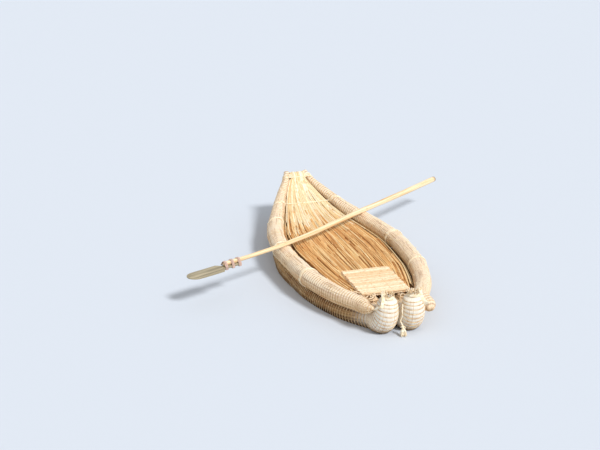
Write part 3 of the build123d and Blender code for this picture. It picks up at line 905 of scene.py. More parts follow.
class ColourSettings(PropertyGroup):
    """Lightest colours of the reeds, cords, paddle and studio."""

    # Painted sunlight: the two colours that the horns and the rolls' upper sides are lightened to
    sunlit_hull: paint("Sunned hull", "What the sun lightens the large bundles to", "FFFAEC")
    sunlit_rolls: paint("Sunned rolls", "What the sun lightens the gunwale rolls to", "FFF3DE")
    winding_cord: paint("Winding cord", "Cord wound round bundles and rolls", "EFD9B6")
    ties: paint("Ties", "Ties, straps, collars and bow rope", "FFF4E0")
    pole: paint("Pole", "Peeled wood of the paddle's pole", "FBEAD2")
    board: paint("Board", "Weathered wood of the paddle's board", "C9BC9C")
    rag: paint("Rag", "Cloth strips wound round the pole and the board", "E6CFC2")
    studio_floor: paint("Studio floor", "Floor that the boat lies on", "D5DCE6")
    backdrop: paint("Backdrop", "What shows past the studio floor", "E1E9F4")


class StageSettings(PropertyGroup):
    """Where the camera stands and how it looks."""

    pitch: FloatProperty(
        name="Pitch", description="How far the camera looks down", default=radians(19.75), subtype="ANGLE"
    )
    view_width: FloatProperty(
        name="View width", description="Horizontal angle of view", default=radians(30), subtype="ANGLE"
    )
    heading: FloatProperty(
        name="Heading", description="How far the bow swings to the left of the view",
        default=radians(16.7), subtype="ANGLE",
    )
    distance: FloatProperty(
        name="Distance", description="From the camera to the stern at the waterline", default=8.888,
        unit="LENGTH",
    )


# Bundles

GROOVE_SHARPNESS = 0.38       # lower makes a winding's groove narrower and its rib flatter
ROLL_GROOVE_SHARPNESS = 0.55
ROWS_A_TURN = 6               # rows of a skin in one turn of its winding
MOST_TURNS = 400
STEM_RELIEF = 0.0013          # how far one stem of a skin stands out or in
CORD_SUNK = 0.001             # how much deeper than its groove the winding cord lies


def rib(turns, sharpness):
    """How far a skin swells between the turns of its winding: 0 in a groove, 1 midway."""
    return abs(sin(pi * turns)) ** sharpness


def stem_and_turn_swells(seed, around, lowest, highest):
    """Swell of each stem round a skin, and of each turn of its winding."""
    chosen = random.Random(seed)
    stems = [chosen.uniform(-STEM_RELIEF, STEM_RELIEF) for _ in range(around)]
    return stems, [chosen.uniform(lowest, highest) for _ in range(MOST_TURNS)]


def wound_path(start, length, pitch, points_a_turn, place):
    """Path of a cord that lies in a skin's grooves, from place(distance, angle)."""
    path = []
    for i in range(int(length / pitch * points_a_turn)):
        turns = start / pitch + i / points_a_turn
        path.append(place(pitch * turns, 2 * pi * (ceil(turns) - turns)))
    return path


class REEDBOAT_OT_bundles(Operator):
    """Adds the skins of the two large bundles, with their horns, and the cord wound round them"""

    bl_idname = "reed_boat.bundles"
    bl_label = "Large Bundles"

    def execute(self, context):
        settings = context.scene.reed_hull
        pitch, depth = settings.winding_pitch, settings.groove
        first, last = HORN_TOP - NECK_RISE, BOW_REACH
        around, lump_size, inset, groove_shade, neck_fade = 100, 0.15, 0.002, 0.55, 0.03
        rows = int((last - first) / pitch * ROWS_A_TURN)
        cord_start, cord_end, cord_points = 0.02, 0.06, 30
        cord_swell = settings.cord * 0.45 - depth - CORD_SUNK
        for side, side_name in SIDE_NAMES.items():
            stems, turn_swells = stem_and_turn_swells(11 + side, around, -0.0016, 0.0008)
            grooves = []

            def place(u, v):
                s = first + (last - first) * v
                angle = 2 * pi * u
                turns = (s - first) / pitch + u
                grooved = 1 - rib(turns, GROOVE_SHARPNESS)
                stem = stems[round(u * around) % around] * sizes(s)[0] / HALF_WIDTH
                lump = abs(lumps(bundle_point(side, s, angle), lump_size, settings.unevenness, side))
                swell = uneven(turn_swells, turns) - depth * grooved + stem - inset - lump
                # Painted shade in the winding's grooves, faded out at the neck
                grooves.append(grooved * smooth((s - first) / neck_fade) * groove_shade)
                return bundle_point(side, s, angle, swell)

            def painted_sunlight(point):
                """Painted sunlight on the horns, well above the water."""
                return 0.95 * smooth((point.z - 0.13) / 0.12) * smooth(-(point.y + 0.98) / 0.20)

            def in_groove(distance, angle):
                return bundle_point(side, first + distance, angle, cord_swell)

            piece = sheet_grid(f"bundle_reeds_{side_name}", around, rows)
            shape_grid(piece, place, (1.25, last - first))
            skin_values(piece, grooves, painted_sunlight)
            close_tube(piece)
            finish_piece(piece, "dry_totora_hull", "hull_reed", f"main_bundle_{side_name}")

            length = last - cord_end - first - cord_start
            path = wound_path(cord_start, length, pitch, cord_points, in_groove)
            cord = tubes(f"bundle_cord_{side_name}", [path], settings.cord)
            finish_piece(cord, "grass_cord", "reed_cord", f"main_lashing_{side_name}")
        return {"FINISHED"}


class REEDBOAT_OT_rolls(Operator):
    """Adds the two gunwale rolls and the cord wound round them"""

    bl_idname = "reed_boat.rolls"
    bl_label = "Gunwale Rolls"

    def execute(self, context):
        settings = context.scene.reed_hull
        pitch, depth = settings.winding_pitch, settings.groove
        around, lump_size, inset, groove_shade = 60, 0.12, 0.001, 0.95
        cord_end, cord_points = 0.05, 24
        for side, side_name in SIDE_NAMES.items():
            line, tip = ROLLS[side], TAIL_TIP_RADIUS[side]
            stems, turn_swells = stem_and_turn_swells(23 + side, around, -0.0018, 0.0010)
            grooves = []

            def left_of_radius(d):
                """Share of the radius left where the after end rounds off."""
                return sqrt(max(1 - (1 - min(d / tip, 1)) ** 2, 0.0004))

            def place(u, v):
                d = line.length * v
                turns = d / pitch + u
                grooved = 1 - rib(turns, ROLL_GROOVE_SHARPNESS)
                share = line.radius(d) / ROLL_RADIUS
                swell = share * (uneven(turn_swells, turns) + stems[round(u * around) % around])
                swell -= depth * share * grooved
                swell -= inset + abs(lumps(line.centre(d), lump_size, settings.unevenness * share, side))
                # Painted shade in the winding's grooves
                grooves.append(grooved * groove_shade)
                reach = (line.radius(d) + swell) * left_of_radius(d)
                return line.point(d, 2 * pi * u, reach - line.radius(d))

            def painted_sunlight(point):
                """Painted sunlight on the upper side."""
                middle = line.centre(roll_distance(line, point.y)).z
                return 0.85 * smooth((point.z - middle + 0.03) / 0.09)

            def in_groove(distance, angle):
                sunk = depth * line.radius(distance) / ROLL_RADIUS + CORD_SUNK
                return line.point(distance, angle, settings.cord * 0.4 - sunk)

            piece = sheet_grid(f"roll_reeds_{side_name}", around, int(line.length / pitch * ROWS_A_TURN))
            shape_grid(piece, place, (0.45, line.length))
            skin_values(piece, grooves, painted_sunlight)
            close_tube(piece)
            finish_piece(piece, "bleached_totora_roll", "roll_reed", f"gunwale_{side_name}")

            start = tip * 0.8
            path = wound_path(start, line.length - cord_end - start, pitch, cord_points, in_groove)
            cord = tubes(f"roll_cord_{side_name}", [path], settings.cord * 0.9)
            finish_piece(cord, "grass_cord", "reed_cord", f"gunwale_lashing_{side_name}")
        return {"FINISHED"}


# Ties


def section_ring(s, side, radius, turns, width, turn_points=24):
    """Turns of cord side by side round a roll, in the section at s."""
    path = []
    for i in range(int(turns * turn_points) + 1):
        t = i / (turns * turn_points)
        angle = 2 * pi * turns * t
        at = s + width * (t - 0.5)
        x, n = roll_centre(at)
        path.append(in_section(at, side * (x + radius * cos(angle)), n + radius * sin(angle)))
    return path


class REEDBOAT_OT_ties(Operator):
    """Adds the ties that hold the rolls down on the large bundles, and their knots"""

    bl_idname = "reed_boat.ties"
    bl_label = "Gunwale Ties"

    def execute(self, context):
        tie = context.scene.reed_rope.tie
        turns, knot_size, tag_length, inner_angle = 3, 0.020, 0.045, radians(235)
        for side, side_name in SIDE_NAMES.items():
            rings, knots = [], []
            for i, s in enumerate(TIE_WAISTS):
                radius = sizes(s)[2] + tie * 0.2
                rings.append(section_ring(s, side, radius, turns, tie * (turns - 0.2)))
                x, n = roll_centre(s)
                out = radius + tie * 0.6
                place = in_section(s, side * (x + out * cos(inner_angle)), n + out * sin(inner_angle))
                knots.append(knot_path(place, knot_size, 31 * i + side))
                for turned in (-1, 1):
                    drop = Vector((-side * 0.5, turned * 0.7, -0.25)).normalized() * tag_length
                    bend = Vector((-side, -turned * 0.4, 0)) * 0.010
                    knots.append([place + drop * t + bend * sin(pi * t) for t in (0, 0.25, 0.5, 0.75, 1)])
            ring = rope(f"roll_ties_{side_name}", rings, tie, strands=2, lay=0.02)
            finish_piece(ring, "bleached_cord", "tie_cord", f"gunwale_ties_{side_name}")
            knot = rope(f"tie_knots_{side_name}", knots, tie * 0.7, strands=2, lay=0.016)
            finish_piece(knot, "bleached_cord", "tie_cord")
        return {"FINISHED"}


# Horn tufts, collars and straps

TUFT_STEM = 0.0115
COLLAR_LOW, COLLAR_HIGH = NECK_RISE - 0.004, NECK_RISE + 0.016
STRAP_FOOT = {PORT: 0.002, STARBOARD: 0.060}     # where along its roll a strap starts
STRAP_CUTS = (0, 2, 4, 1)                        # how many points short each of its cords ends


def horn_place(side, height, out, angle):
    """Point at a height above the horn's top, and out from its middle at an angle."""
    return in_section(HORN_TOP - height, side * (HORN_X + out * cos(angle)), out * sin(angle))


def cut_ends(name, lines, thickness, seed, *nodes):
    """Reed stems whose cut ends show, each with a dark core painted as the shade in its hollow end."""
    stems = tubes(name, lines, thickness)
    tone_by_part(stems, seed)
    finish_piece(stems, "cut_reed_ends", "cut_reed", *nodes)
    # Painted shade: a dark core set into each stem's end
    cores = []
    for line in lines:
        end, before = line[-1], line[-2]
        forward = (end - before).normalized()
        cores.append([end - forward * thickness, end + forward * thickness * 0.06])
    pith_and_hollow_shade = tubes(f"{name}_pith", cores, thickness * 0.55)
    finish_piece(pith_and_hollow_shade, "brown_pith", "cut_reed")


def tuft_stems(side):
    """Reed stems that come up through a horn's collar and flare over it."""
    chosen = random.Random(61 + side)
    rings, tuft_top, usual_flare = 3, 0.046, 1.48
    lines = []
    for ring in range(rings + 1):
        out = ring * (NECK_RADIUS - TUFT_STEM / 2) / rings
        count = max(int(2 * pi * out / TUFT_STEM), 1)
        for k in range(count):
            angle = 2 * pi * k / count + chosen.uniform(-0.12, 0.12)
            sunk = 0.014 * (1 - ring / rings)
            top = tuft_top + chosen.uniform(-0.008, 0.004) - sunk
            flare = usual_flare + chosen.uniform(-0.10, 0.10)
            lines.append([
                horn_place(side, COLLAR_LOW - 0.006, out * 1.05, angle),
                horn_place(side, COLLAR_LOW + 0.004, out, angle),
                horn_place(side, COLLAR_HIGH - 0.003, out, angle),
                horn_place(side, (COLLAR_HIGH + top) / 2, out * (1 + (flare - 1) * 0.6), angle),
                horn_place(side, top, out * flare, angle),
            ])
    return lines


def collar_turns(side, cord):
    """Turns of cord drawn tight round a horn's neck."""
    turns, points = 4, 28
    path = []
    for i in range(turns * points + 1):
        t = i / (turns * points)
        out = NECK_RADIUS + cord * (0.6 + 0.25 * sin(5 * t))
        path.append(horn_place(side, COLLAR_LOW + (COLLAR_HIGH - COLLAR_LOW) * t, out, 2 * pi * turns * t))
    return path


def strap_cords(side, spacing):
    """Cords side by side from a roll's end up over the horn's shoulder to the collar, and free above it."""
    foot = ROLLS[side].centre(STRAP_FOOT[side]) + Vector((-side * 0.006, -0.010, -0.004))
    cheek = horn_place(side, -0.024, HORN_RADIUS + 0.010, radians(-40))
    halfway = foot.lerp(cheek, 0.5) + Vector((0, -0.006, 0.006))
    collar_side = horn_place(side, NECK_RISE + 0.004, NECK_RADIUS + 0.016, radians(-30))
    free = horn_place(side, NECK_RISE + 0.058, NECK_RADIUS + 0.010, radians(-10))
    middle = smoothed([foot, halfway, cheek, collar_side, free], 7)
    gathered = 0.35
    cords = []
    for k, cut in enumerate(STRAP_CUTS):
        offset = (k - (len(STRAP_CUTS) - 1) / 2) * spacing
        strand = []
        for i, point in enumerate(middle):
            ahead = middle[min(i + 1, len(middle) - 1)] - middle[max(i - 1, 0)]
            across = ahead.cross(Vector((0, 1, 0.3))).normalized()
            strand.append(point + across * offset * (1 - gathered * i / len(middle)))
        cords.append(strand[:len(strand) - cut])
    return cords


def groove_route(foot, points=24, kept_from_ends=0.03):
    """Route of a cord down the groove between the horns to a point near the water."""
    groove = []
    for i in range(points):
        s = HORN_TOP + kept_from_ends + (HORN_LENGTH - 2 * kept_from_ends) * i / (points - 1)
        groove.append(in_section(s, 0.003 * sin(i), -sizes(s)[1] * 0.55))
    above = [point for point in groove if point.z > foot.z + 0.03]
    return smoothed([*above[::4], (above[-1] + foot) / 2 + Vector((0, -0.004, 0)), foot], 4)


def frayed_strands(foot, count=46):
    """Loose strands that hang from a knot and spread over the water."""
    chosen = random.Random(83)
    strands = []
    for _ in range(count):
        across = chosen.uniform(-0.020, 0.024)
        along = chosen.uniform(-0.016, 0.010)
        end = chosen.uniform(0.002, 0.022)
        strands.append([
            foot,
            foot + Vector((across * 0.7, along - 0.004, -0.024)),
            Vector((foot.x + across, foot.y + along - 0.008, WATERLINE + end)),
        ])
    return strands


class REEDBOAT_OT_horn_tops(Operator):
    """Adds the tufts of reed ends on the horns, the cord round each and the straps to the rolls"""

    bl_idname = "reed_boat.horn_tops"
    bl_label = "Horn Tops"

    def execute(self, context):
        tie = context.scene.reed_rope.tie
        knot_size, frayed_thickness = 0.030, 0.0055
        for side, side_name in SIDE_NAMES.items():
            cut_ends(f"tuft_{side_name}", tuft_stems(side), TUFT_STEM, 71 + side, f"horn_tuft_{side_name}")
            knot_place = horn_place(side, NECK_RISE + 0.007, NECK_RADIUS + 0.012, radians(60))
            turns = collar_turns(side, tie * 0.9)
            knot = knot_path(knot_place, knot_size, 5 + side)
            collar = rope(f"tuft_cord_{side_name}", [turns, knot], tie * 0.9, strands=2, lay=0.018)
            finish_piece(collar, "bleached_cord", "tie_cord", f"horn_collar_{side_name}")
            strap = rope(f"strap_{side_name}", strap_cords(side, tie * 0.9), tie * 1.2)
            finish_piece(strap, "bleached_cord", "tie_cord", f"stern_strap_{side_name}")

        after_face = in_section(HORN_TOP + 0.06, 0, -HORN_RADIUS).y
        foot = Vector((0.006, after_face + 0.022, WATERLINE + 0.070))
        cord = rope("groove_cord", [groove_route(foot)], tie * 1.1)
        finish_piece(cord, "bleached_cord", "tie_cord")
        strands = [*frayed_strands(foot), knot_path(foot, knot_size, 89)]
        finish_piece(tubes("frayed_knot", strands, frayed_thickness), "bleached_cord", "tie_cord")
        return {"FINISHED"}


# Bow

BOW_ROPE_PLACE = BOW_REACH - TIP_LENGTH
BOW_TURNS = 4
BOW_STEM = 0.0085


def bow_ellipses(s):
    """Centre, half width and half height of a large bundle and of its roll in the section at s."""
    width, height, roll = sizes(s)
    return (width, 0, width, height), (*roll_centre(s), roll, roll)


def bow_outline(s, proud, steps=48):
    """Points of a cord drawn tight round the four bundles in the section at s, as (x, n)."""
    ellipses = bow_ellipses(s)
    points = []
    for i in range(steps + 1):
        angle = 2 * pi * i / steps + 0.01
        c, sn = cos(angle), sin(angle)
        touched = []
        for x, n, a, b in ellipses:
            for side in (PORT, STARBOARD):
                reach = hypot(a * c, b * sn)
                px, pn = side * x + a * a * c / reach, n + b * b * sn / reach
                touched.append((px * c + pn * sn, px + proud * c, pn + proud * sn))
        points.append(max(touched, key=lambda entry: entry[0])[1:])
    return points


def bow_stems(chosen):
    """Stems packed in rows in all four bundles, cut off at the bow tip."""
    lines = []
    for x0, n0, a, b in bow_ellipses(BOW_REACH):
        a, b = a - BOW_STEM * 0.6, b - BOW_STEM * 0.6
        for side in (PORT, STARBOARD):
            rows = int(b / BOW_STEM)
            for row in range(-rows, rows + 1):
                n = row * BOW_STEM
                half = a * sqrt(max(1 - (n / b) ** 2, 0))
                count = int(half * 2 / BOW_STEM) + 1
                for k in range(count):
                    x = side * x0 + (k - (count - 1) / 2) * BOW_STEM + chosen.uniform(-0.001, 0.001)
                    end = BOW_REACH + chosen.uniform(-0.003, 0.005)
                    lines.append([
                        in_section(s, x, n0 + n) for s in (BOW_REACH - 0.02, end - 0.002, end)
                    ])
    return lines


def lining_stems(chosen, count=14):
    """Stems that come up the trough, over the rope, and are tucked down in front of it."""
    at = BOW_ROPE_PLACE
    roll_x, _, roll, _ = bow_ellipses(BOW_REACH)[1]
    inner = roll_x - roll * 0.8
    lining = []
    for k in range(count):
        x = (k / (count - 1) * 2 - 1) * inner
        crest = roll_centre(at)[1] + roll * 0.85 + chosen.uniform(-0.007, 0.007)
        turned = chosen.uniform(0.004, 0.012)
        lining.append(smoothed([
            in_section(at - 0.150, x * 1.25, floor_height(at - 0.14)),
            in_section(at - 0.090, x * 1.15, floor_height(at - 0.09) + 0.004),
            in_section(at - 0.050, x * 1.05, crest * 0.82),
            in_section(at - 0.022, x, crest + 0.004),
            in_section(at + 0.004, x, crest + 0.011),
            in_section(at + 0.026, x, crest + 0.003),
            in_section(at + 0.034, x, crest - turned),
            in_section(at + 0.030, x, crest - turned - 0.014),
        ], 5))
    return lining


class REEDBOAT_OT_bow(Operator):
    """Adds the rope round the bow tip, the cut ends there and the lining folded over the rope"""

    bl_idname = "reed_boat.bow"
    bl_label = "Bow Tip"

    def execute(self, context):
        thickness = context.scene.reed_rope.bow_turn
        path = []
        for turn in range(BOW_TURNS):
            s = BOW_ROPE_PLACE + (turn - (BOW_TURNS - 1) / 2) * thickness * 0.95
            path += [in_section(s, x, n) for x, n in bow_outline(s, thickness * 0.3)]
        binding = rope("bow_rope", [path], thickness, lay=0.035)
        finish_piece(binding, "bleached_cord", "tie_cord", "bow_binding")

        chosen = random.Random(97)
        cut_ends("bow_ends", bow_stems(chosen), BOW_STEM, 101)
        lining = tubes("bow_curl", lining_stems(chosen), 0.0150, sides=8)
        tone_by_part(lining, 103)
        finish_piece(lining, "bow_lining_reed", "floor_reed")
        return {"FINISHED"}


# Floor


def bundle_top(s, x, least):
    """Height over the spine of a large bundle's upper face at x, with a least share of its square."""
    width, height, _ = sizes(s)
    return height * sqrt(max(1 - ((abs(x) - width) / width) ** 2, least))


def bed_height(s, x):
    """Height over the spine of what a loose reed at x lies on: the floor, or beside it the bundle."""
    edge = floor_half_width(s)
    if abs(x) <= edge:
        return floor_height(s)
    fall = smooth((abs(x) - edge) / 0.03)
    return floor_height(s) * (1 - fall) + bundle_top(s, x, 0.05) * fall


def loose_stems(chosen, count, stretch, lengths, spread, lift):
    """Stems that lie along a stretch of the hull, spread over a share of the floor's half width."""
    first, last = stretch
    lines = []
    for _ in range(count):
        length = chosen.uniform(*lengths)
        start = chosen.uniform(first, last - length * 0.6)
        end = min(start + length, last)
        across = chosen.uniform(*spread)
        drift = chosen.uniform(-0.05, 0.05)
        raised = chosen.uniform(0, lift)
        steps = max(int((end - start) / 0.05), 3)
        line = []
        for i in range(steps + 1):
            t = i / steps
            s = start + (end - start) * t
            share = across + drift * (t - 0.5)
            edge = floor_half_width(s)
            x = share * edge
            if share < -1:
                gutter = roll_centre(s)[0] - sizes(s)[2] * 0.75 - edge
                x = -edge + (share + 1) * gutter / 0.15
            n = bed_height(s, x) + raised - 0.002 + 0.002 * sin(9 * s + 20 * across)
            line.append(in_section(s, x, n))
        lines.append(line)
    return lines


def gutter_stems(count=5, points=24):
    """Stems side by side in the gutter between the floor and the starboard roll."""
    lines = []
    for k in range(count):
        line = []
        for i in range(points):
            s = -0.86 + 0.075 * i
            x = floor_half_width(s) + 0.006 + 0.007 * k + 0.003 * sin(5 * s + k)
            line.append(in_section(s, x, bed_height(s, x) + 0.004))
        lines.append(line)
    return lines


class REEDBOAT_OT_floor(Operator):
    """Adds the loose reeds of the floor and of the bow lining"""

    bl_idname = "reed_boat.floor"
    bl_label = "Floor Reeds"

    def execute(self, context):
        settings = context.scene.reed_floor
        aft, fore = -STERN_REACH + 0.15, BOW_REACH - TIP_LENGTH - 0.037
        bed_edge, bed_foot, bed_thickness = 0.02, 0.003, FLOOR_THICKNESS - 0.008

        def place(u, v):
            s = aft + (fore - aft) * v
            half = floor_half_width(s)
            x = (u * 2 - 1) * half
            rise = 1 - smooth((abs(x) - half + bed_edge) / bed_edge)
            return in_section(s, x, sizes(s)[1] + bed_foot + bed_thickness * rise)

        bed = sheet_grid("floor_bed", 24, 120)
        shape_grid(bed, place, (0.7, fore - aft))
        tones = []
        for vertex in bed.data.vertices:
            paler = 0.35 * smooth((vertex.co.y - 0.5) / 0.5)
            tones.append(0.3 + 0.2 * noise.noise(vertex.co / 0.05) + paler)
        store(bed, "tone", tones)
        choose(bed)
        bpy.ops.object.shade_smooth()
        finish_piece(bed, "orange_floor_reed", "floor_reed", "floor_reeds")

        # To port the reeds reach the roll, and to starboard a dark gutter stays open beside them
        chosen = random.Random(131)
        aft_stems = loose_stems(
            chosen, settings.reeds, (aft - 0.02, 0.86), (0.35, 0.95), (-1.15, 0.97), 0.006
        )
        fore_stems = loose_stems(
            chosen, settings.reeds * 3 // 5, (0.34, fore + 0.02), (0.25, 0.75), (-1.15, 1.02), 0.007
        )
        for name, lines, thickness, seed, finish in (
            ("floor_stems", aft_stems, settings.reed, 137, "orange_floor_reed"),
            ("bow_stems", fore_stems, settings.reed, 139, "bow_lining_reed"),
            ("gutter_stems", gutter_stems(), 0.008, 149, "bow_lining_reed"),
        ):
            piece = tubes(name, lines, thickness)
            tone_by_part(piece, seed)
            finish_piece(piece, finish, "floor_reed")

        s = TIE_WAISTS[-1]
        reach = roll_centre(s)[0] - sizes(s)[2] * 0.92
        n = floor_height(s) + 0.009
        taut = [in_section(s, reach * x, n + 0.004 * x * x) for x in (-1, -0.6, -0.2, 0.2, 0.6, 1)]
        cord = rope("bow_cord", [taut], context.scene.reed_rope.tie)
        finish_piece(cord, "bleached_cord", "tie_cord", "deck_cord")
        return {"FINISHED"}


STITCH_PLACES = (-0.155, -0.055, 0.055, 0.155)


class REEDBOAT_OT_mat(Operator):
    """Adds the seat mat: a layer of stems along, a layer across, and the cords that stitch them"""

    bl_idname = "reed_boat.mat"
    bl_label = "Seat Mat"

    def execute(self, context):
        strip = context.scene.reed_floor.mat_strip
        (left, back, bottom), (right, front, top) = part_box("seat_mat")
        chosen = random.Random(151)
        rows, columns = int((front - back) / strip), int((right - left) / strip)
        lines = []
        for k in range(rows):
            y = back + (k + 0.5) * (front - back) / rows
            trim = [chosen.uniform(0, 0.010) for _ in range(2)]
            z = top - strip * 0.5 + chosen.uniform(-0.0015, 0.0005)
            line = []
            for i in range(11):
                t = i / 10
                x = left + trim[0] + (right - left - sum(trim)) * t
                sag = 0.0015 * sin(3 * t + k * 1.7) ** 2
                line.append(Vector((x, y + 0.0015 * sin(7 * t + k), z - sag)))
            lines.append(line)
        for k in range(columns):
            x = left + (k + 0.5) * (right - left) / columns
            z = bottom + strip * 0.5
            lines.append([Vector((x, back + 0.004 + (front - back - 0.008) * t, z)) for t in (0, 0.5, 1)])
        mat = tubes("mat_stems", lines, strip * 1.04, sides=8)
        tone_by_part(mat, 157)
        finish_piece(mat, "pale_mat_reed", "mat_reed", "seat_mat")

        stitches = []
        for x in STITCH_PLACES:
            line = []
            for i in range(rows * 2 + 1):
                y = back + (front - back) * i / (rows * 2)
                dip = 0.0045 if i % 2 == 0 else 0.0
                line.append(Vector((x + 0.001 * sin(i), y, top - 0.0015 - dip)))
            stitches.append(line)
        finish_piece(tubes("mat_stitches", stitches, 0.0035), "grass_cord", "reed_cord")
        return {"FINISHED"}


# Paddle

POLE_LENGTH = 2.800
POLE_PORT_REACH = -0.060
POLE_STARBOARD_REACH = 0.590
BLADE_LENGTH = 0.470
BLADE_WIDTH = 0.130
BLADE_THICKNESS = 0.018
BLADE_OVERLAP = 0.150
BLADE_NECK = 0.060
RAG_WIDTH = 0.026
RAG_THICKNESS = 0.006
RAG_BANDS = 3

# Columns: share of the pole's length, bow sideways, radius
POLE_LINE = (
    (0.00, 0.110, 0.017),
    (0.08, 0.066, 0.017),
    (0.20, 0.018, 0.018),
    (0.34, -0.004, 0.020),
    (0.55, 0.006, 0.022),
    (0.79, -0.006, 0.024),
    (1.00, 0.000, 0.025),
)

# Columns: place of a knot along the pole, angle round it, how far it stands out
POLE_KNOTS = (
    (0.62, 1.2, 0.0022),
    (1.18, 2.6, 0.0030),
    (1.70, 0.4, 0.0020),
    (2.22, 1.9, 0.0028),
    (2.70, 3.4, 0.0022),
)


def roll_rest(side, s):
    """Where the pole crosses a roll, in plan."""
    y, _, slope = spine(s)
    x, n = roll_centre(s)
    return Vector((side * x, y - (n + sizes(s)[2]) * sin(slope), 0))


def paddle_axes():
    """Forward and sideways of the pole in plan, its foot before any bow, and its heights at both ends."""
    port, starboard = roll_rest(PORT, POLE_PORT_REACH), roll_rest(STARBOARD, POLE_STARBOARD_REACH)
    forward = (starboard - port).normalized()
    sideways = Vector((-forward.y, forward.x, 0))
    middle = port - forward * (port.x / forward.x)
    end_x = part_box("paddle_pole")[1][0] - POLE_LINE[-1][2] * abs(sideways.x)
    foot = middle + forward * (end_x / forward.x - POLE_LENGTH)
    return forward, sideways, foot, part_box("paddle_blade")[1][2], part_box("paddle_pole")[0][2]


def signed_power(value, power):
    """A sine or cosine drawn out towards 1, so that an ellipse turns into a rounded board."""
    return abs(value) ** power * (1 if value > 0 else -1)


def blade_half_width(d):
    """Half width of the board at a distance past the pole's foot, back towards the tip if negative."""
    tip_round, shoulder = BLADE_WIDTH / 2, BLADE_OVERLAP / 4
    tip_middle = tip_round - (BLADE_LENGTH - BLADE_OVERLAP)
    if d < tip_middle:
        return tip_round * sqrt(max(1 - ((tip_middle - d) / tip_round) ** 2, 0.0))
    return tip_round + (BLADE_NECK / 2 - tip_round) * smooth((d + shoulder) / shoulder)


def wound_outline(angle, proud):
    """Point of a strip drawn round the pole and the neck, at a height over the board's upper face."""
    c, sn = cos(angle), sin(angle)
    radius, half_neck = POLE_LINE[0][2], BLADE_NECK / 2
    touched = [(radius * sn + radius, radius * c, radius + radius * sn)]
    for x in (-half_neck, half_neck):
        for y in (-BLADE_THICKNESS, 0):
            touched.append((x * c + y * sn, x, y))
    _, x, y = max(touched)
    return x + proud * c, y + proud * sn


def add_pole(pole, around=28, rows=300):
    """The pole, with its knots, its worn ends, a darker upper end and a dark core painted as the shade in
    that hollow end.
    """
    cap, cap_radius, end_darkening_length = 0.010, 0.004, 0.045
    grooves, end_darkening = [], []

    def place(u, v):
        d = pole.length * v
        angle = 2 * pi * u
        swell = lumps(pole.centre(d) + Vector((0, 0, 0.02 * sin(angle))), 0.10, 0.0012) - 0.0008
        mark = 0.0
        for at, turned, height in POLE_KNOTS:
            across = (angle - turned + pi) % (2 * pi) - pi
            near = exp(-((d - at) / 0.016) ** 2 - (across / 0.5) ** 2)
            swell += near * height - height * 0.4 * near**4
            mark = max(mark, near**3)
        end = min(d, pole.length - d)
        if end < cap:
            swell -= (pole.radius(d) - cap_radius) * (1 - sqrt(1 - (1 - end / cap) ** 2)) * 0.75
        grooves.append(mark * 0.8)
        # Darker over the last few centimetres towards the upper end
        end_darkening.append(0.85 * smooth(1 - (pole.length - d) / end_darkening_length))
        return pole.point(d, angle, swell)

    piece = sheet_grid("pole", around, rows)
    shape_grid(piece, place, (0.13, pole.length))
    store(piece, "groove", grooves)
    store(piece, "end_darkening", end_darkening)
    close_tube(piece)
    finish_piece(piece, "peeled_pole_wood", "pole_wood", "paddle_pole")
    # Painted shade: a dark disc in the pole's hollow upper end
    end, along = pole.centre(pole.length), pole.axes(pole.length)[2]
    core = [end - along * 0.006, end + along * 0.0006]
    dark_end = tubes("pole_core", [core], pole.radius(pole.length) * 0.9, sides=12)
    tone_by_part(dark_end, 163)
    finish_piece(dark_end, "brown_pith", "pole_wood")


def add_board(in_board):
    """The flat board, thinner and rounded at its tip and narrower at its neck."""
    blade_end = BLADE_LENGTH - BLADE_OVERLAP

    def place(u, v):
        share = v if v >= 0.5 else 0.5 * (v / 0.5) ** 1.6
        d = -blade_end + BLADE_LENGTH * share
        angle = 2 * pi * u
        half = max(blade_half_width(d), 0.0015) - 0.0005
        thick = (BLADE_THICKNESS / 2 - 0.0006) * (0.55 + 0.45 * smooth((d + blade_end) / 0.12))
        warp = 0.0008 * sin(14 * d)
        return in_board(
            d, half * signed_power(cos(angle), 0.35), thick * signed_power(sin(angle), 0.5) + warp
        )

    piece = sheet_grid("blade", 48, 90)
    shape_grid(piece, place, (0.28, BLADE_LENGTH))
    close_tube(piece)
    finish_piece(piece, "weathered_board", "blade_wood", "paddle_blade")


def add_rag_band(k, in_board):
    """A torn strip wound tight round the pole and the board's neck."""
    step = (BLADE_OVERLAP - RAG_WIDTH) / (RAG_BANDS - 1)
    chosen = random.Random(167 + k)
    phase = [chosen.uniform(0, 6) for _ in range(3)]

    def place(u, v):
        angle, small = 2 * pi * u, 2 * pi * v
        creased = 0.0012 * sin(9 * small + phase[0]) + 0.0010 * sin(5 * angle + phase[1])
        proud = RAG_THICKNESS * 0.5 + RAG_THICKNESS * 0.42 * sin(small) + creased * (sin(small) > 0)
        along = RAG_WIDTH / 2 + k * step + RAG_WIDTH * 0.48 * cos(small)
        x, y = wound_outline(angle, proud)
        return in_board(along + 0.0015 * sin(angle + phase[2]), x, BLADE_THICKNESS / 2 + y)

    band = sheet_grid(f"rag_band_{k + 1}", 72, 28)
    shape_grid(band, place, (0.15, 0.06))
    close_tube(band, cap=False)
    finish_piece(band, "cotton_rag", "rag_lashing", *(["paddle_lashing"] if k == 0 else []))


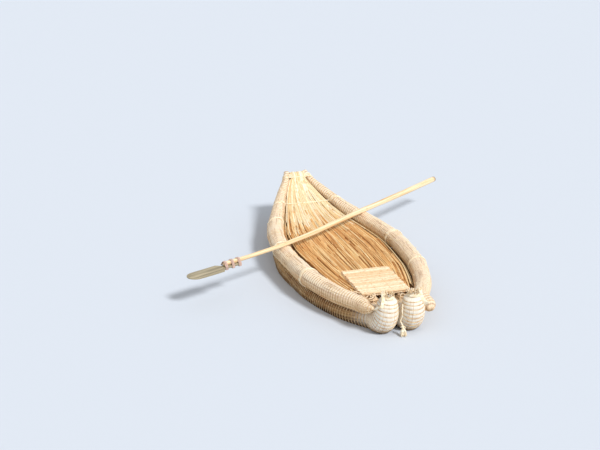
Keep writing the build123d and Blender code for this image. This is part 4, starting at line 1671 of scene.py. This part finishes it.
class REEDBOAT_OT_paddle(Operator):
    """Adds the pole, the board lashed to its foot and the rag bands of that lashing"""

    bl_idname = "reed_boat.paddle"
    bl_label = "Paddle"

    def execute(self, context):
        forward, sideways, foot, foot_z, end_z = paddle_axes()
        up = Vector((0, 0, 1))
        centres = []
        for share, bow, radius in POLE_LINE:
            z = foot_z + (end_z - foot_z) * share + radius
            centres.append(foot + forward * (share * POLE_LENGTH) + sideways * bow + up * z)
        route = Line(centres, [radius for _, _, radius in POLE_LINE])
        steps = [route.length * i / 120 for i in range(121)]
        add_pole(Line(relaxed([route.centre(d) for d in steps], 12), [route.radius(d) for d in steps]))

        # The board lies along the pole's straight foot, under it
        foot_forward = (centres[1] - centres[0]).normalized()
        foot_forward.z = 0
        foot_forward.normalize()
        foot_sideways = up.cross(foot_forward)
        board_middle = foot + sideways * POLE_LINE[0][1] + up * (foot_z - BLADE_THICKNESS / 2)

        def in_board(along, across, height):
            return board_middle + foot_forward * along + foot_sideways * across + up * height

        add_board(in_board)
        for k in range(RAG_BANDS):
            add_rag_band(k, in_board)
        return {"FINISHED"}


# Stray reeds


def curl(chosen, stretch, spread, lift, radii, twist, widening, steps):
    """Points of one strip curled up on the bundles, each with its share of the way along."""
    s = chosen.uniform(*stretch)
    x = chosen.uniform(*spread)
    base = in_section(s, x, bundle_top(s, x, 0.1) + lift)
    turn = chosen.uniform(0, 2 * pi)
    size = chosen.uniform(*radii)
    line = []
    for i in range(steps + 1):
        t = i / steps
        reach = size * (1 + widening * t)
        line.append((t, base + Vector((cos(turn + twist * t), sin(turn + twist * t), 0)) * reach))
    return line


class REEDBOAT_OT_stray(Operator):
    """Adds the stray reed ends and curled strips of the real boat"""

    bl_idname = "reed_boat.stray"
    bl_label = "Stray Reeds"

    def execute(self, context):
        chosen = random.Random(173)
        ends_a_roll, low_curls, high_curls = 26, 34, 26
        ends = []
        for side in SIDE_NAMES:
            line = ROLLS[side]
            for _ in range(ends_a_roll):
                d = chosen.uniform(0.08, line.length - 0.2)
                angle = chosen.uniform(0.1, pi - 0.1)
                length = chosen.uniform(0.02, 0.06)
                lift = chosen.uniform(0.002, 0.012)
                ends.append([
                    line.point(d + length * t, angle, -0.006 + lift * t * t + 0.004 * t)
                    for t in (0, 0.35, 0.7, 1)
                ])
        strays = tubes("stray_ends", ends, 0.004)
        tone_by_part(strays, 179)
        finish_piece(strays, "bow_lining_reed", "roll_reed")

        curls = []
        for _ in range(low_curls):
            line = curl(chosen, (-1.10, -0.99), (-0.15, 0.13), 0.004, (0.010, 0.028), 2.4, 1, 7)
            curls.append([point + Vector((0, 0, 0.016 * sin(pi * t))) for t, point in line])
        for _ in range(high_curls):
            line = curl(chosen, (-1.09, -0.93), (-0.20, -0.10), 0.012, (0.014, 0.030), 4, 0, 9)
            curls.append([(point + Vector((0, 0, 0.030 * t)), 2.0) for t, point in line])
        strips = tubes("curled_strips", curls, 0.0045)
        tone_by_part(strips, 181)
        finish_piece(strips, "pale_mat_reed", "floor_reed")
        return {"FINISHED"}


# Stage

PICTURE_SIZE = (600, 450)
STERN_PIXEL = (403.3, 332.4)             # where the picture shows this point of the stern
STERN_POINT = Vector((0, -1.345, 0.200))
WATER_PIXELS_DOWN = 45                   # from the picture's middle to what the distance is measured to


def add_camera(context, settings):
    """Camera that puts the stern at its pixel, and its turn."""
    width, height = PICTURE_SIZE
    focal = width / 2 / tan(settings.view_width / 2)
    camera_height = settings.distance * sin(settings.pitch + atan2(WATER_PIXELS_DOWN, focal))
    across, up = STERN_PIXEL[0] - width / 2, height / 2 - STERN_PIXEL[1]
    turn = Matrix.Rotation(-settings.heading, 3, "Z") @ Matrix.Rotation(pi / 2 - settings.pitch, 3, "X")
    ray = turn @ Vector((across / focal, up / focal, -1))
    place = STERN_POINT - ray * (camera_height / -ray.z)
    bpy.ops.object.camera_add(location=place, rotation=turn.to_euler())
    camera = context.object
    camera.name = "photo_camera"
    camera.data.sensor_width = 36
    camera.data.lens_unit = "FOV"
    camera.data.angle = settings.view_width
    camera.data.clip_end = 300
    context.scene.camera = camera
    return turn


def add_sun(context, turn):
    """Soft key from the right of the view, from behind it and above, as in daylight."""
    right, back = turn @ Vector((1, 0, 0)), turn @ Vector((0, 0, 1))
    toward = right * 0.75 + Vector((back.x, back.y, 0)).normalized() * 0.85 + Vector((0, 0, 1.10))
    bpy.ops.object.light_add(type="SUN", rotation=toward.to_track_quat("Z", "Y").to_euler())
    key = context.object
    key.name = "soft_key"
    key.data.energy = 2.7
    key.data.angle = radians(12)


def add_sky(scene):
    """Even white light, and a pale backdrop where the camera or a mirror sees past the floor."""
    world = bpy.data.worlds.new("studio")
    world.use_nodes = True
    scene.world = world
    tree = world.node_tree
    light = tree.nodes["Background"]
    light.inputs["Color"].default_value = (1, 1, 1, 1)
    light.inputs["Strength"].default_value = 0.55
    backdrop = node(
        tree, "ShaderNodeBackground", values={"Color": colour(scene.reed_colours.backdrop), "Strength": 1.0}
    )
    rays = node(tree, "ShaderNodeLightPath").outputs
    mirrored = arithmetic(tree, "MAXIMUM", rays["Is Camera Ray"], rays["Is Glossy Ray"])
    clear = arithmetic(tree, "MAXIMUM", mirrored, rays["Is Transmission Ray"])
    mixed = node(
        tree, "ShaderNodeMixShader", {0: clear, 1: light.outputs[0], 2: backdrop.outputs[0]}
    )
    tree.links.new(mixed.outputs[0], tree.nodes["World Output"].inputs["Surface"])


class REEDBOAT_OT_stage(Operator):
    """Adds the floor at the waterline, the soft key light, the even sky and the camera"""

    bl_idname = "reed_boat.stage"
    bl_label = "Stage"

    def execute(self, context):
        deselect()
        bpy.ops.mesh.primitive_plane_add(size=160, location=(0, 0, WATERLINE))
        floor_piece = context.object
        floor_piece.name = "studio_floor"
        bpy.ops.object.transform_apply(location=True, rotation=True, scale=True)
        floor_piece.data.materials.append(material("studio_floor"))
        floor_piece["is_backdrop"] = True
        turn = add_camera(context, context.scene.reed_stage)
        add_sun(context, turn)
        add_sky(context.scene)
        context.scene.view_settings.view_transform = "Standard"
        return {"FINISHED"}


class REEDBOAT_PT_panel(Panel):
    """Lists the settings and the steps that build the boat"""

    bl_idname = "REEDBOAT_PT_panel"
    bl_label = "Reed Boat"
    bl_space_type = "VIEW_3D"
    bl_region_type = "UI"
    bl_category = "Reed Boat"

    def draw(self, context):
        for name, group in SETTINGS.items():
            settings = getattr(context.scene, name)
            for setting in group.__annotations__:
                self.layout.prop(settings, setting)
        for operator in BUILDERS:
            self.layout.operator(operator.bl_idname)


SETTINGS = {
    "reed_hull": HullSettings,
    "reed_floor": FloorSettings,
    "reed_rope": RopeSettings,
    "reed_colours": ColourSettings,
    "reed_stage": StageSettings,
}
BUILDERS = (
    REEDBOAT_OT_bundles,
    REEDBOAT_OT_rolls,
    REEDBOAT_OT_ties,
    REEDBOAT_OT_horn_tops,
    REEDBOAT_OT_bow,
    REEDBOAT_OT_floor,
    REEDBOAT_OT_mat,
    REEDBOAT_OT_paddle,
    REEDBOAT_OT_stray,
    REEDBOAT_OT_stage,
)


def register():
    """Registers the settings, the steps and the panel."""
    for group in SETTINGS.values():
        bpy.utils.register_class(group)
    for name, group in SETTINGS.items():
        setattr(bpy.types.Scene, name, PointerProperty(type=group))
    for operator in BUILDERS:
        bpy.utils.register_class(operator)
    bpy.utils.register_class(REEDBOAT_PT_panel)


def unregister():
    """Takes them all out again."""
    bpy.utils.unregister_class(REEDBOAT_PT_panel)
    for operator in reversed(BUILDERS):
        bpy.utils.unregister_class(operator)
    for name in SETTINGS:
        delattr(bpy.types.Scene, name)
    for group in reversed(SETTINGS.values()):
        bpy.utils.unregister_class(group)


def main():
    """Builds every piece in order."""
    register()
    for operator in BUILDERS:
        group, name = operator.bl_idname.split(".")
        getattr(getattr(bpy.ops, group), name)()
    boxes = {"cad": CAD_BOX, "visual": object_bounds()}
    {name: [list(corner) for corner in box] for name, box in boxes.items()}


if __name__ == "__main__":
    main()
